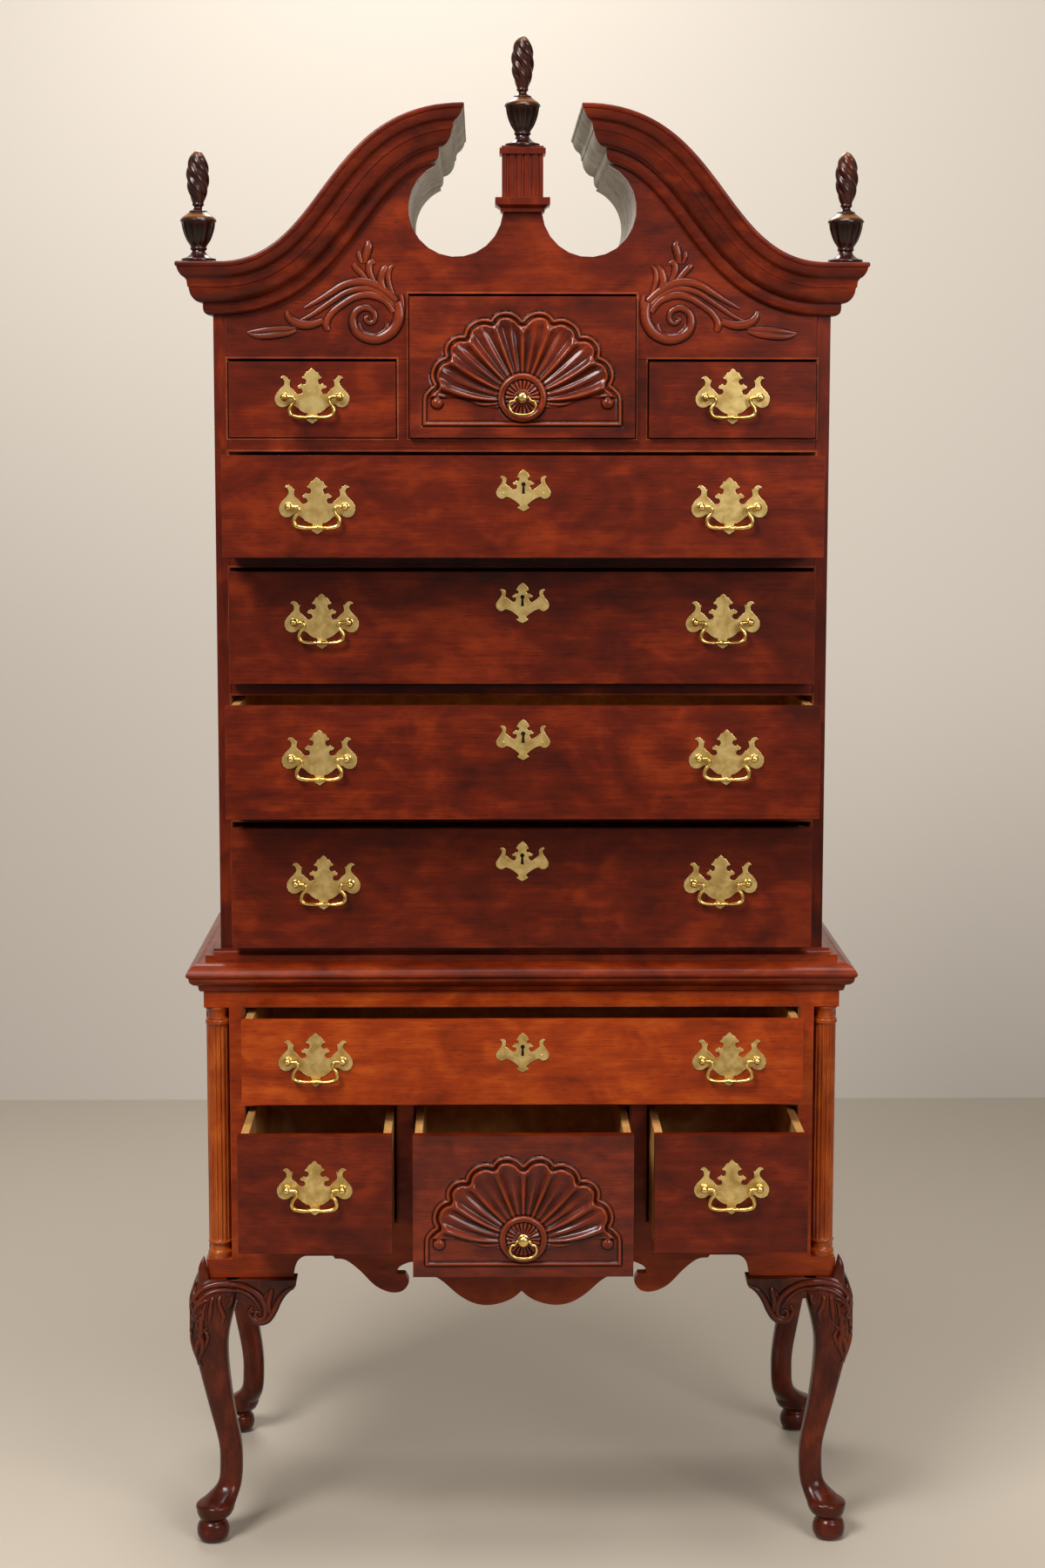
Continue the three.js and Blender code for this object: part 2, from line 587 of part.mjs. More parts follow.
// Outline of a side board of the lower case, with its shallow arched apron
function lowerSideShape() {
  const front = LOWER_FACE + COLUMN_RECESS;
  const archFront = LOWER_FACE + SIDE_APRON_END;
  const archBack = UPPER_DEPTH - SIDE_APRON_END;
  const crown = LEG_HEIGHT + SIDE_APRON_RISE;
  const shape = new THREE.Shape();
  shape.moveTo(front, LEG_HEIGHT);
  shape.lineTo(archFront, LEG_HEIGHT);
  shape.quadraticCurveTo(archFront, crown, archFront + SIDE_APRON_RISE, crown);
  shape.lineTo(archBack - SIDE_APRON_RISE, crown);
  shape.quadraticCurveTo(archBack, crown, archBack, LEG_HEIGHT);
  shape.lineTo(UPPER_DEPTH, LEG_HEIGHT);
  shape.lineTo(UPPER_DEPTH, LOWER_TOP);
  shape.lineTo(front, LOWER_TOP);
  shape.closePath();
  return shape;
}

// Blocks over and under each column, and the post behind it
function columnCorners() {
  const recessBack = LOWER_FACE + COLUMN_RECESS;
  const frameBack = LOWER_FACE + FRAME_DEPTH;
  const longHalf = LOWER_LONG_WIDTH / 2;
  return [
    ...blockPair(
      [RECESS_HALF - LAP, LOWER_FACE, LEG_HEIGHT],
      [LOWER_HALF, recessBack + LAP, LEG_HEIGHT + COLUMN_BLOCK_LOW],
    ),
    ...blockPair(
      [RECESS_HALF - LAP, LOWER_FACE, LOWER_TOP - COLUMN_BLOCK_HIGH],
      [LOWER_HALF, recessBack + LAP, LOWER_TOP],
    ),
    ...blockPair([longHalf, frameBack - LAP, LEG_HEIGHT], [RECESS_HALF, recessBack + LAP, LOWER_TOP]),
    ...blockPair([longHalf, recessBack, LEG_HEIGHT], [LOWER_HALF - LAP, recessBack + CORNER_POST, LOWER_TOP]),
  ];
}

// Runners and partitions behind the openings of the lower case
function lowerDrawerSupports() {
  const from = LOWER_FACE + FRAME_DEPTH - LAP;
  const to = BACK_FACE + LAP;
  const outer = LOWER_LONG_WIDTH / 2 + LAP;
  const runnerFrom = outer - RUNNER_WIDTH;
  const wallFrom = LOWER_CENTRE_WIDTH / 2 + OVERRUN;
  const wallTo = LOWER_CENTRE_WIDTH / 2 + LOWER_DIVIDER - OVERRUN;
  const half = RUNNER_WIDTH / 2;
  return [
    ...blockPair([runnerFrom, from, LOWER_SMALL_HEAD], [outer, to, LOWER_LONG_SILL]),
    ...blockPair([runnerFrom, from, LOWER_SIDE_SILL - LOWER_RAIL], [outer, to, LOWER_SIDE_SILL]),
    ...blockPair([wallFrom, from, LOWER_CENTRE_SILL - LOWER_RAIL], [wallTo, to, LOWER_LONG_SILL]),
    ...blockPair([wallTo - LAP, from, LOWER_SIDE_SILL - LOWER_RAIL], [wallTo + half, to, LOWER_SIDE_SILL]),
    ...blockPair(
      [wallFrom - half, from, LOWER_CENTRE_SILL - LOWER_RAIL],
      [wallFrom + LAP, to, LOWER_CENTRE_SILL],
    ),
  ];
}

function lowerCarcase() {
  const inner = LOWER_HALF - LOWER_SIDE_BOARD;
  const side = lowerSideShape();
  const topFront = LOWER_FACE + FRAME_DEPTH - LAP;
  return joined([
    lowerFront(),
    boardYZ(side, -LOWER_HALF, -inner),
    boardYZ(side, inner, LOWER_HALF),
    ...columnCorners(),
    block([-inner - LAP, BACK_FACE, LEG_HEIGHT], [inner + LAP, UPPER_DEPTH, LOWER_TOP]),
    block([-inner - LAP, topFront, LOWER_TOP - CASE_BOARD], [inner + LAP, BACK_FACE + LAP, LOWER_TOP]),
    ...lowerDrawerSupports(),
  ]);
}

// The waist moulding runs along the left side, the front and the right side, mitred at both corners
function waistMoulding() {
  const bottom = LOWER_TOP - WAIST_FALL;
  const step = CASE_STEP + SEAT_GAP;
  const profile = [
    [SEAT_GAP, UPPER_BOTTOM],
    [SEAT_GAP, bottom + WAIST_HEIGHT],
    ...WAIST_SHARES.map(([reach, rise]) => [reach * WAIST_REACH, bottom + rise * WAIST_HEIGHT]),
    [step, bottom],
    [step, UPPER_BOTTOM],
  ];
  const ring = (side, depth) => profile.map(([reach, z]) => new THREE.Vector3(
    side * (UPPER_HALF + reach),
    depth ?? -reach,
    z,
  ));
  return loft([ring(-1, UPPER_DEPTH), ring(-1), ring(1), ring(1, UPPER_DEPTH)], inXZ);
}

// A corner column: turned base and capital, fluted shaft
function column(side) {
  const bottom = LEG_HEIGHT + COLUMN_BLOCK_LOW + SEAT_GAP;
  const top = LOWER_TOP - COLUMN_BLOCK_HIGH - SEAT_GAP;
  const centreX = side * (LOWER_HALF - COLUMN_RECESS / 2);
  const centreY = LOWER_FACE + COLUMN_RECESS / 2;
  const shaft = COLUMN_RADIUS - COLUMN_SHAFT_STEP;
  const ring = (radius, z, flute) => aroundTurn(2 * COLUMN_FLUTES, (turn, k) => {
    const r = radius - flute * (k % 2);
    const angle = turn * 2 * Math.PI;
    return new THREE.Vector3(centreX + r * Math.cos(angle), centreY + r * Math.sin(angle), z);
  });
  const plain = (radiusShare, z) => ring(radiusShare * COLUMN_RADIUS, z, 0);
  return loft([
    ...COLUMN_BASE_SHARES.map(([radius, up]) => plain(radius, bottom + up * COLUMN_BASE)),
    ring(shaft, bottom + COLUMN_BASE, COLUMN_FLUTE_DEPTH),
    ring(shaft, top - COLUMN_CAPITAL, COLUMN_FLUTE_DEPTH),
    ...COLUMN_CAPITAL_SHARES.map(([radius, down]) => plain(radius, top - down * COLUMN_CAPITAL)).reverse(),
  ]);
}

// LEGS

// A cabriole leg on a ball foot; the corner of the case is at the origin, its inside towards +X and +Y
function legShaft(height) {
  return loft(LEG_SHARES.map(([rise, centre, half, square]) => aroundTurn(LEG_POINTS, (turn) => {
    const angle = (turn + 1 / (2 * LEG_POINTS)) * 2 * Math.PI;
    const flat = Math.abs(Math.cos(angle)) ** square + Math.abs(Math.sin(angle)) ** square;
    const r = (half * KNEE_PROUD) / flat ** (1 / square);
    const middle = centre * KNEE_PROUD;
    return new THREE.Vector3(middle + r * Math.cos(angle), middle + r * Math.sin(angle), rise * height);
  })));
}

// The leg with its knee brackets along the front and the side of the case
function leg() {
  const height = LEG_HEIGHT - SEAT_GAP;
  const bracket = flatShape(BRACKET_SHARES.map(([x, z]) => [x * BRACKET_LENGTH, height + z * BRACKET_DROP]));
  const inner = BRACKET_THICKNESS - BRACKET_PROUD;
  return joined([
    legShaft(height),
    boardXZ(bracket, -BRACKET_PROUD, inner),
    boardYZ(bracket, -BRACKET_PROUD, inner),
  ]);
}

// CORNICE AND TYMPANUM

const SWAN_CURVE = new THREE.CubicBezierCurve(
  new THREE.Vector2(-SWAN_START_X, CORNICE_TOP),
  new THREE.Vector2(-SWAN_START_X + SWAN_HANDLE_SHARES.low * SWAN_RUN, CORNICE_TOP),
  new THREE.Vector2(-SWAN_NOSE_X - SWAN_HANDLE_SHARES.high * SWAN_RUN, NECK_TOP),
  new THREE.Vector2(-SWAN_NOSE_X, NECK_TOP),
);

// Height of the line that runs at an even drop below the cornice's top, at a place on the left side
function swanHeight(x, drop) {
  const lineAt = (t) => {
    const point = SWAN_CURVE.getPoint(t);
    const along = SWAN_CURVE.getTangent(t);
    return new THREE.Vector2(point.x + along.y * drop, point.y - along.x * drop);
  };
  let low = 0;
  let high = 1;
  for (let pass = 0; pass < 40; pass += 1) {
    const middle = (low + high) / 2;
    if (lineAt(middle).x < x) {
      low = middle;
    } else {
      high = middle;
    }
  }
  return lineAt(low).y;
}

// Places from the foot of the climb to just short of the neck
function swanPlaces() {
  const last = -NECK_FACE - OVERRUN;
  return Array.from({ length: SWAN_STEPS + 1 }, (_, k) => {
    const share = k / SWAN_STEPS;
    return -SWAN_START_X + share * (last + SWAN_START_X);
  });
}

const swanLine = (drop) => swanPlaces().map((x) => [x, swanHeight(x, drop)]);

// The same line from the inner face of the side board inwards
function innerSwanLine(drop) {
  const edge = -INNER_HALF + SEAT_GAP;
  return [edge, ...swanPlaces().filter((x) => x > edge)].map((x) => [x, swanHeight(x, drop)]);
}

// Lower side of the neck's return, less the seat gap
const neckUnderside = () => swanHeight(-NECK_FACE, CORNICE_HEIGHT) - SEAT_GAP;

// The moulding: side return, level end, climb and neck return
function corniceMoulding() {
  const profile = CORNICE_SHARES.map(([reach, drop]) => [
    SEAT_GAP + reach * (CORNICE_REACH - SEAT_GAP),
    drop * CORNICE_HEIGHT,
  ]);
  const side = (depth) => profile.map(([reach, drop]) => new THREE.Vector3(
    -UPPER_HALF - reach,
    depth ?? -reach,
    CORNICE_TOP - drop,
  ));
  const climb = swanPlaces().map((x) => profile.map(([reach, drop]) => new THREE.Vector3(
    x,
    -reach,
    swanHeight(x, drop),
  )));
  const neck = (lean, depth) => profile.map(([reach, drop]) => {
    const x = -NECK_FACE - OVERRUN * (1 - lean) + reach * lean;
    return new THREE.Vector3(x, depth ?? -reach, swanHeight(x, drop));
  });
  const leaning = Array.from({ length: NECK_STEPS }, (_, k) => neck((k + 1) / NECK_STEPS));
  return loft([side(UPPER_DEPTH), side(), ...climb, ...leaning, neck(1, UPPER_DEPTH)], inXZ);
}

// Boards that roof the space behind the climb
function corniceRoof() {
  const outer = -UPPER_HALF - OVERRUN;
  const inner = -NECK_FACE + OVERRUN;
  return boardXZ(flatShape([
    [outer, CORNICE_TOP - ROOF_REBATE],
    ...swanLine(ROOF_REBATE),
    [inner, swanHeight(inner, ROOF_REBATE)],
    [inner, swanHeight(inner, ROOF_UNDERSIDE)],
    ...swanLine(ROOF_UNDERSIDE).reverse(),
    [outer, CORNICE_TOP - ROOF_UNDERSIDE],
  ]), -OVERRUN, UPPER_DEPTH);
}

// Angle at which a round cut of some radius meets the neck's underside, or its crown where it stays below it
function scrollStart(radius) {
  const rise = (neckUnderside() - SCROLL_CENTRE_Z) / radius;
  return Math.PI - Math.asin(Math.min(rise, 1));
}

// Points of the left round cut between two angles
function scrollArc(radius, from, to) {
  return Array.from({ length: SCROLL_STEPS + 1 }, (_, k) => {
    const angle = from + (to - from) * (k / SCROLL_STEPS);
    return [-SCROLL_CENTRE_X + radius * Math.cos(angle), SCROLL_CENTRE_Z + radius * Math.sin(angle)];
  });
}

// Board that closes the space behind the climb at the back
function corniceBack() {
  const outer = -INNER_HALF + SEAT_GAP;
  const inner = -NECK_FACE + OVERRUN;
  const bottom = CASE_TOP + SEAT_GAP;
  const roof = ROOF_UNDERSIDE - LAP;
  return boardXZ(flatShape([
    [-SEAT_GAP / 2, bottom],
    [-SEAT_GAP / 2, SCROLL_CENTRE_Z - SCROLL_RADIUS],
    ...scrollArc(SCROLL_RADIUS, 1.5 * Math.PI, scrollStart(SCROLL_RADIUS)),
    [inner, neckUnderside() + OVERRUN],
    [inner, swanHeight(inner, roof)],
    ...innerSwanLine(roof).reverse(),
    [outer, bottom],
  ]), UPPER_DEPTH - HOOD_BACK, UPPER_DEPTH);
}

const leftCornice = () => joined([corniceMoulding(), corniceRoof(), corniceBack()]);

// Front board: notch for the shell drawer, two round cuts and the tongue between them
function tympanum() {
  const half = INNER_HALF - SEAT_GAP;
  const sill = TOP_SILL + TOP_SIDE_OPENING;
  const notch = TOP_CENTRE_WIDTH / 2;
  const roof = ROOF_UNDERSIDE + SEAT_GAP;
  const tongue = 2 * Math.PI + Math.asin((TONGUE_TOP - SCROLL_CENTRE_Z) / SCROLL_RADIUS);
  const left = [
    [-notch, TOP_SILL + TOP_CENTRE_OPENING],
    [-notch, sill],
    [-half, sill],
    ...innerSwanLine(roof),
    [-NECK_FACE, swanHeight(-NECK_FACE, roof)],
    [-NECK_FACE, neckUnderside()],
    ...scrollArc(SCROLL_RADIUS, scrollStart(SCROLL_RADIUS), tongue),
  ];
  const right = left.map(([x, z]) => [-x, z]).reverse();
  return boardXZ(flatShape([...left, ...right]), 0, BOARD_THICKNESS);
}

// The tympanum with bent liners behind its round cuts and a floor between them
function pedimentBoard() {
  const from = BOARD_THICKNESS - LAP;
  const to = UPPER_DEPTH - HOOD_BACK - SEAT_GAP;
  const outerRadius = SCROLL_RADIUS + LINER;
  const bottom = 1.5 * Math.PI;
  const liner = boardXZ(flatShape([
    ...scrollArc(SCROLL_RADIUS, scrollStart(SCROLL_RADIUS), bottom),
    ...scrollArc(outerRadius, scrollStart(outerRadius), bottom).reverse(),
  ]), from, to);
  const floorTop = SCROLL_CENTRE_Z - SCROLL_RADIUS;
  const floorHalf = SCROLL_CENTRE_X + LAP;
  return joined([
    tympanum(),
    liner,
    mirrored(liner),
    block([-floorHalf, from, floorTop - LINER], [floorHalf, to, floorTop]),
  ]);
}

// PLINTH AND FINIALS

// Plan of the plinth's shaft, fluted in front
function plinthPlan(front, back) {
  const half = PLINTH_WIDTH / 2;
  const step = PLINTH_WIDTH / (2 * PLINTH_FLUTES + 1);
  const bed = front + PLINTH_FLUTE_DEPTH;
  const flutes = Array.from({ length: PLINTH_FLUTES }, (_, k) => {
    const from = -half + (2 * k + 1) * step;
    return [[from, front], [from + step / 4, bed], [from + (3 * step) / 4, bed], [from + step, front]];
  });
  return flatShape([[-half, front], ...flutes.flat(), [half, front], [half, back], [-half, back]]);
}

// Cove, plate, fluted shaft and cap on the tongue of the tympanum
function pedimentPlinth() {
  const middle = BOARD_THICKNESS / 2;
  const coveLow = TONGUE_TOP + SEAT_GAP;
  const plateLow = coveLow + PLINTH_COVE;
  const shaftLow = plateLow + PLINTH_PLATE;
  const capLow = shaftLow + PLINTH_HEIGHT;
  const lipLow = capLow + PLINTH_CAP;
  const halfDepth = (width) => (width - PLINTH_WIDTH + PLINTH_DEPTH) / 2;
  const slab = (width, low, high) => block(
    [-width / 2, middle - halfDepth(width), low],
    [width / 2, middle + halfDepth(width), high],
  );
  const square = (width, z) => [[-1, -1], [1, -1], [1, 1], [-1, 1]].map(([x, y]) => new THREE.Vector3(
    (x * width) / 2,
    middle + y * halfDepth(width),
    z,
  ));
  const cove = loft([
    square(PLINTH_COVE_WIDTH, coveLow),
    square(PLINTH_COVE_WIDTH, coveLow + PLINTH_COVE / 2),
    square(PLINTH_PLATE_WIDTH - PLINTH_LIP, plateLow),
    square(PLINTH_PLATE_WIDTH - PLINTH_LIP, plateLow + LAP),
  ]);
  const plan = plinthPlan(middle - PLINTH_DEPTH / 2, middle + PLINTH_DEPTH / 2);
  return joined([
    cove,
    slab(PLINTH_PLATE_WIDTH, plateLow, shaftLow),
    boardXY(plan, shaftLow - LAP, capLow + LAP),
    slab(PLINTH_CAP_WIDTH, capLow, lipLow),
    slab(PLINTH_CAP_WIDTH - 2 * PLINTH_LIP, lipLow - LAP, lipLow + PLINTH_LIP),
  ]);
}

const PLINTH_RISES = [PLINTH_COVE, PLINTH_PLATE, PLINTH_HEIGHT, PLINTH_CAP, PLINTH_LIP];
const PLINTH_TOP = PLINTH_RISES.reduce((sum, rise) => sum + rise, TONGUE_TOP + SEAT_GAP);

// Fluted urn with a spiral flame, standing at the origin
function finial() {
  return loft(FINIAL_SHARES.map(([rise, radius, flute, twist]) => aroundTurn(FINIAL_POINTS, (turn, k) => {
    const angle = (turn - twist * FLAME_TURNS) * 2 * Math.PI;
    const r = radius * FINIAL_RADIUS * (1 - flute * (k % 2));
    return new THREE.Vector3(r * Math.cos(angle), r * Math.sin(angle), rise * FINIAL_HEIGHT);
  })));
}

// DRAWERS

// Distance from the hub to the lobed edge, at an angle from straight up
function shellEdge(angle) {
  const lobe = THREE.MathUtils.degToRad(SHELL_LOBE_ANGLE);
  const widening = (1 - SHELL_TOP_SHARE) * Math.abs(angle / (Math.PI / 2));
  const notch = SHELL_NOTCH * (1 - Math.abs(Math.sin((Math.PI * angle) / lobe)));
  return SHELL_RADIUS * (SHELL_TOP_SHARE + widening) - notch;
}

// The ribbed fan, standing out of the plane Y = 0 with its hub at the origin
function shellFan() {
  const lobe = THREE.MathUtils.degToRad(SHELL_LOBE_ANGLE);
  const steps = SHELL_LOBES * SHELL_LOBE_STEPS;
  const start = SHELL_HUB_RADIUS * SHELL_HUB_INNER_SHARE;
  const sections = Array.from({ length: steps + 1 }, (_, k) => {
    const angle = (k / steps - 1 / 2) * SHELL_LOBES * lobe;
    const wave = -Math.cos((2 * Math.PI * angle) / lobe);
    const face = SHELL_SHARES.map(([out, lift, rib]) => {
      const r = start + (shellEdge(angle) - start) * out;
      return new THREE.Vector3(r * Math.sin(angle), -SHELL_RELIEF * (lift + rib * wave), r * Math.cos(angle));
    });
    return [face[0].clone().setY(OVERRUN), ...face, face.at(-1).clone().setY(OVERRUN)];
  });
  return loft(sections, inRadiusAndY);
}

// Fan, hub and framing bands of a shell, on a front whose face and bottom edge are given
function shellCarving(faceY, bottomZ, scale) {
  const hub = turnedForward([
    [0, -OVERRUN],
    [SHELL_HUB_RADIUS, -OVERRUN],
    ...SHELL_HUB_SHARES.map(([r, out]) => [r * SHELL_HUB_RADIUS, out * SHELL_RELIEF]),
  ], SHELL_SIDES);
  const bandLow = SHELL_BAND_RISE - SHELL_HUB_RISE;
  const half = SHELL_RADIUS - LAP;
  const carvings = [
    shellFan(),
    hub,
    block([-half, -SHELL_BAND_RELIEF, bandLow], [half, OVERRUN, bandLow + SHELL_BAND]),
    ...blockPair([half - SHELL_BAND, -SHELL_BAND_RELIEF, bandLow + LAP], [half, OVERRUN, 0]),
  ];
  return carvings.map((geometry) => geometry
    .scale(scale, 1, scale)
    .translate(0, faceY, bottomZ + SHELL_HUB_RISE * scale));
}

// A drawer: lapped front, sides, back and bottom, glued up as one box
function drawer({ x, width, sill, height, face, open, length, shellScale }) {
  const front = face - open;
  const rear = front + length;
  const half = width / 2 - DRAWER_GAP;
  const bottom = sill + DRAWER_GAP;
  const top = sill + height - DRAWER_HEAD_GAP;
  const under = sill + SEAT_GAP;
  const outer = half - SIDE_INSET;
  const inner = outer - DRAWER_SIDE;
  const sideTop = top - SIDE_HEAD;
  const sideFront = front + DRAWER_FRONT - LAP_JOINT;
  const panelLow = under + BOTTOM_RISE;
  const pieces = [
    block([x - half, front, bottom], [x + half, front + DRAWER_FRONT, top]),
    ...[-1, 1].map((side) => block([x + side * inner, sideFront, under], [x + side * outer, rear, sideTop])),
    block([x - inner - LAP, rear - DRAWER_BACK, panelLow], [x + inner + LAP, rear, sideTop - BACK_HEAD]),
    block(
      [x - inner - LAP, front + DRAWER_FRONT - LAP, panelLow],
      [x + inner + LAP, rear - LAP, panelLow + DRAWER_BOTTOM],
    ),
  ];
  return joined(shellScale ? [...pieces, ...shellCarving(front, bottom, shellScale)] : pieces);
}

// HANDLES

// A level bore between two places in X, in which a flat-sided rod turns freely
function pinBore(rod, reach, xFrom, xTo) {
  const radius = (rod + PIN_CLEARANCE) / Math.cos(Math.PI / BAIL_SIDES);
  const bore = new THREE.CylinderGeometry(radius, radius, Math.abs(xTo - xFrom), BAIL_SIDES);
  bore.rotateZ(Math.PI / 2);
  bore.translate((xFrom + xTo) / 2, -reach, 0);
  return bore;
}

// A turned post whose head is bored from the inner side for a bail's pin
function bailPost(side) {
  const radii = { stem: POST_STEM_RADIUS, head: POST_HEAD_RADIUS };
  const turned = turnedForward([
    [0, 0],
    ...POST_SHARES.map(([part, out]) => [radii[part], out * POST_REACH]),
    [0, POST_REACH],
  ], POST_SIDES);
  const middle = POST_SPACING / 2;
  turned.translate(side * middle, 0, 0);
  const boreEnd = side * (middle + PIN_END_PLAY);
  return cut(turned, pinBore(BAIL_RADIUS, PIVOT_REACH, boreEnd, side * (middle - 2 * POST_HEAD_RADIUS)));
}

// A brass backplate with its two posts; its back lies on the plane Y = 0, its pins on Z = 0
function backplate() {
  const right = PLATE_SHARES.map(([x, z]) => [(x * PLATE_WIDTH) / 2, z * PLATE_HEIGHT]);
  const left = right.slice(1, -1).map(([x, z]) => [-x, z]).reverse();
  return joined([
    boardXZ(flatShape([...right, ...left]), -PLATE_THICKNESS, 0),
    bailPost(-1),
    bailPost(1),
  ]);
}

// A rod bent in the plane Y = 0 along half a path and its mirror image
function bentRod(halfPath, radius) {
  const left = halfPath.map(([x, z]) => new THREE.Vector3(-x, 0, z));
  const right = halfPath.map(([x, z]) => new THREE.Vector3(x, 0, z)).reverse();
  const path = [...left, ...right];
  return loft(path.map((point, k) => {
    const before = path[Math.max(k - 1, 0)];
    const after = path[Math.min(k + 1, path.length - 1)];
    const along = after.clone().sub(before).normalize();
    return aroundTurn(BAIL_SIDES, (turn) => new THREE.Vector3(
      point.x - along.z * radius * Math.cos(turn * 2 * Math.PI),
      radius * Math.sin(turn * 2 * Math.PI),
      point.z + along.x * radius * Math.cos(turn * 2 * Math.PI),
    ));
  }), inYZ);
}

const bail = () => bentRod(BAIL_SHARES.map(([x, z]) => [x * POST_SPACING, z * BAIL_DROP]), BAIL_RADIUS);

const pullRing = () => bentRod(PULL_SHARES.map(([x, z]) => [x * PULL_WIDTH, z * PULL_DROP]), PULL_RADIUS);

// A domed post bored from both sides for the pins of a ring
function pullPost() {
  const turned = turnedForward(
    PULL_POST_SHARES.map(([radius, out]) => [radius * PULL_HEAD_RADIUS, out * PULL_REACH]),
    PULL_POST_SIDES,
  );
  const [pinShare] = PULL_SHARES[0];
  const boreEnd = pinShare * PULL_WIDTH - PIN_END_PLAY;
  const outside = 2 * PULL_HEAD_RADIUS;
  const left = cut(turned, pinBore(PULL_RADIUS, PULL_PIVOT_REACH, -outside, -boreEnd));
  return cut(left, pinBore(PULL_RADIUS, PULL_PIVOT_REACH, boreEnd, outside));
}

// ASSEMBLY

const TOP_ROW = { sill: TOP_SILL, face: 0, length: UPPER_DRAWER_LENGTH };
const LOWER_ROW = { face: LOWER_FACE, length: LOWER_DRAWER_LENGTH };

const handlePair = (x, rise) => [{ x: -x, rise }, { x, rise }];

// Every drawer with its opening, its rest position and the places of its handles
const DRAWERS = [
  {
    ...TOP_ROW, name: 'top_left', x: -TOP_SIDE_X, width: TOP_SIDE_WIDTH, height: TOP_SIDE_OPENING,
    open: OPEN_TOP_LEFT, handles: [{ x: 0, rise: TOP_HANDLE_RISE }],
  },
  {
    ...TOP_ROW, name: 'top_center', x: 0, width: TOP_CENTRE_WIDTH, height: TOP_CENTRE_OPENING,
    open: OPEN_TOP_CENTRE, shellScale: UPPER_SHELL_SCALE,
  },
  {
    ...TOP_ROW, name: 'top_right', x: TOP_SIDE_X, width: TOP_SIDE_WIDTH, height: TOP_SIDE_OPENING,
    open: OPEN_TOP_RIGHT, handles: [{ x: 0, rise: TOP_HANDLE_RISE }],
  },
  ...LONG_SILLS.map((sill, row) => ({
    name: `long_${LONG_SILLS.length - row}`, x: 0, sill, face: 0, length: UPPER_DRAWER_LENGTH,
    width: 2 * INNER_HALF, height: LONG_OPENINGS[row], open: OPEN_LONG[row],
    handles: handlePair(LONG_HANDLE_X, LONG_HANDLE_RISES[row]),
  })),
  {
    ...LOWER_ROW, name: 'lower_long', x: 0, width: LOWER_LONG_WIDTH, sill: LOWER_LONG_SILL,
    height: LOWER_LONG_OPENING, open: OPEN_LOWER_LONG,
    handles: handlePair(LOWER_HANDLE_X, LOWER_LONG_HANDLE_RISE),
  },
  ...[['lower_left', -LOWER_SIDE_X], ['lower_right', LOWER_SIDE_X]].map(([name, x]) => ({
    ...LOWER_ROW, name, x, width: LOWER_SIDE_WIDTH, sill: LOWER_SIDE_SILL,
    height: LOWER_SMALL_HEAD - LOWER_SIDE_SILL, open: OPEN_LOWER_SMALL,
    handles: [{ x: 0, rise: LOWER_SMALL_HANDLE_RISE }],
  })),
  {
    ...LOWER_ROW, name: 'lower_center', x: 0, width: LOWER_CENTRE_WIDTH, sill: LOWER_CENTRE_SILL,
    height: LOWER_SMALL_HEAD - LOWER_CENTRE_SILL, open: OPEN_LOWER_SMALL, shellScale: LOWER_SHELL_SCALE,
  },
];

function addCases() {
  const cornice = leftCornice();
  addPiece('upper_carcase', upperCarcase(), MAHOGANY);
  addPiece('upper_drawer_frame', upperDrawerFrame(), MAHOGANY);
  addPiece('pediment_board', pedimentBoard(), MAHOGANY);
  addPiece('cornice_left', cornice, MAHOGANY);
  addPiece('cornice_right', mirrored(cornice), MAHOGANY);
  addPiece('pediment_plinth', pedimentPlinth(), MAHOGANY);
  addPiece('waist_moulding', waistMoulding(), MAHOGANY);
  addPiece('lower_carcase', lowerCarcase(), MAHOGANY);
  addPiece('column_left', column(-1), MAHOGANY);
  addPiece('column_right', column(1), MAHOGANY);
}

function addFinials() {
  const seat = CORNICE_TOP + SEAT_GAP;
  const centre = new THREE.Vector3(0, BOARD_THICKNESS / 2, PLINTH_TOP + SEAT_GAP);
  addPiece('finial_center', finial(), CARVED_MAHOGANY, centre);
  const x = UPPER_HALF + FINIAL_SIDE_OUTSET;
  addPiece('finial_left', finial(), CARVED_MAHOGANY, new THREE.Vector3(-x, -FINIAL_FRONT_OUTSET, seat));
  addPiece('finial_right', finial(), CARVED_MAHOGANY, new THREE.Vector3(x, -FINIAL_FRONT_OUTSET, seat));
}

function addLegs() {
  const base = leg();
  [['left', -1], ['right', 1]].forEach(([hand, side]) => {
    const x = side * LOWER_HALF;
    addPiece(`leg_front_${hand}`, placedCopy(base, [-side, 1], [x, LOWER_FACE, 0]), CARVED_MAHOGANY);
    addPiece(`leg_back_${hand}`, placedCopy(base, [-side, -1], [x, UPPER_DEPTH, 0]), CARVED_MAHOGANY);
  });
}

function addHandle(name, place) {
  addPiece(`plate_${name}`, backplate(), BRASS, place);
  addPiece(`bail_${name}`, bail(), BRASS, place.clone().setY(place.y - PIVOT_REACH));
}

function addPull(name, place) {
  addPiece(`pull_post_${name}`, pullPost(), BRASS, place);
  addPiece(`pull_ring_${name}`, pullRing(), BRASS, place.clone().setY(place.y - PULL_PIVOT_REACH));
}

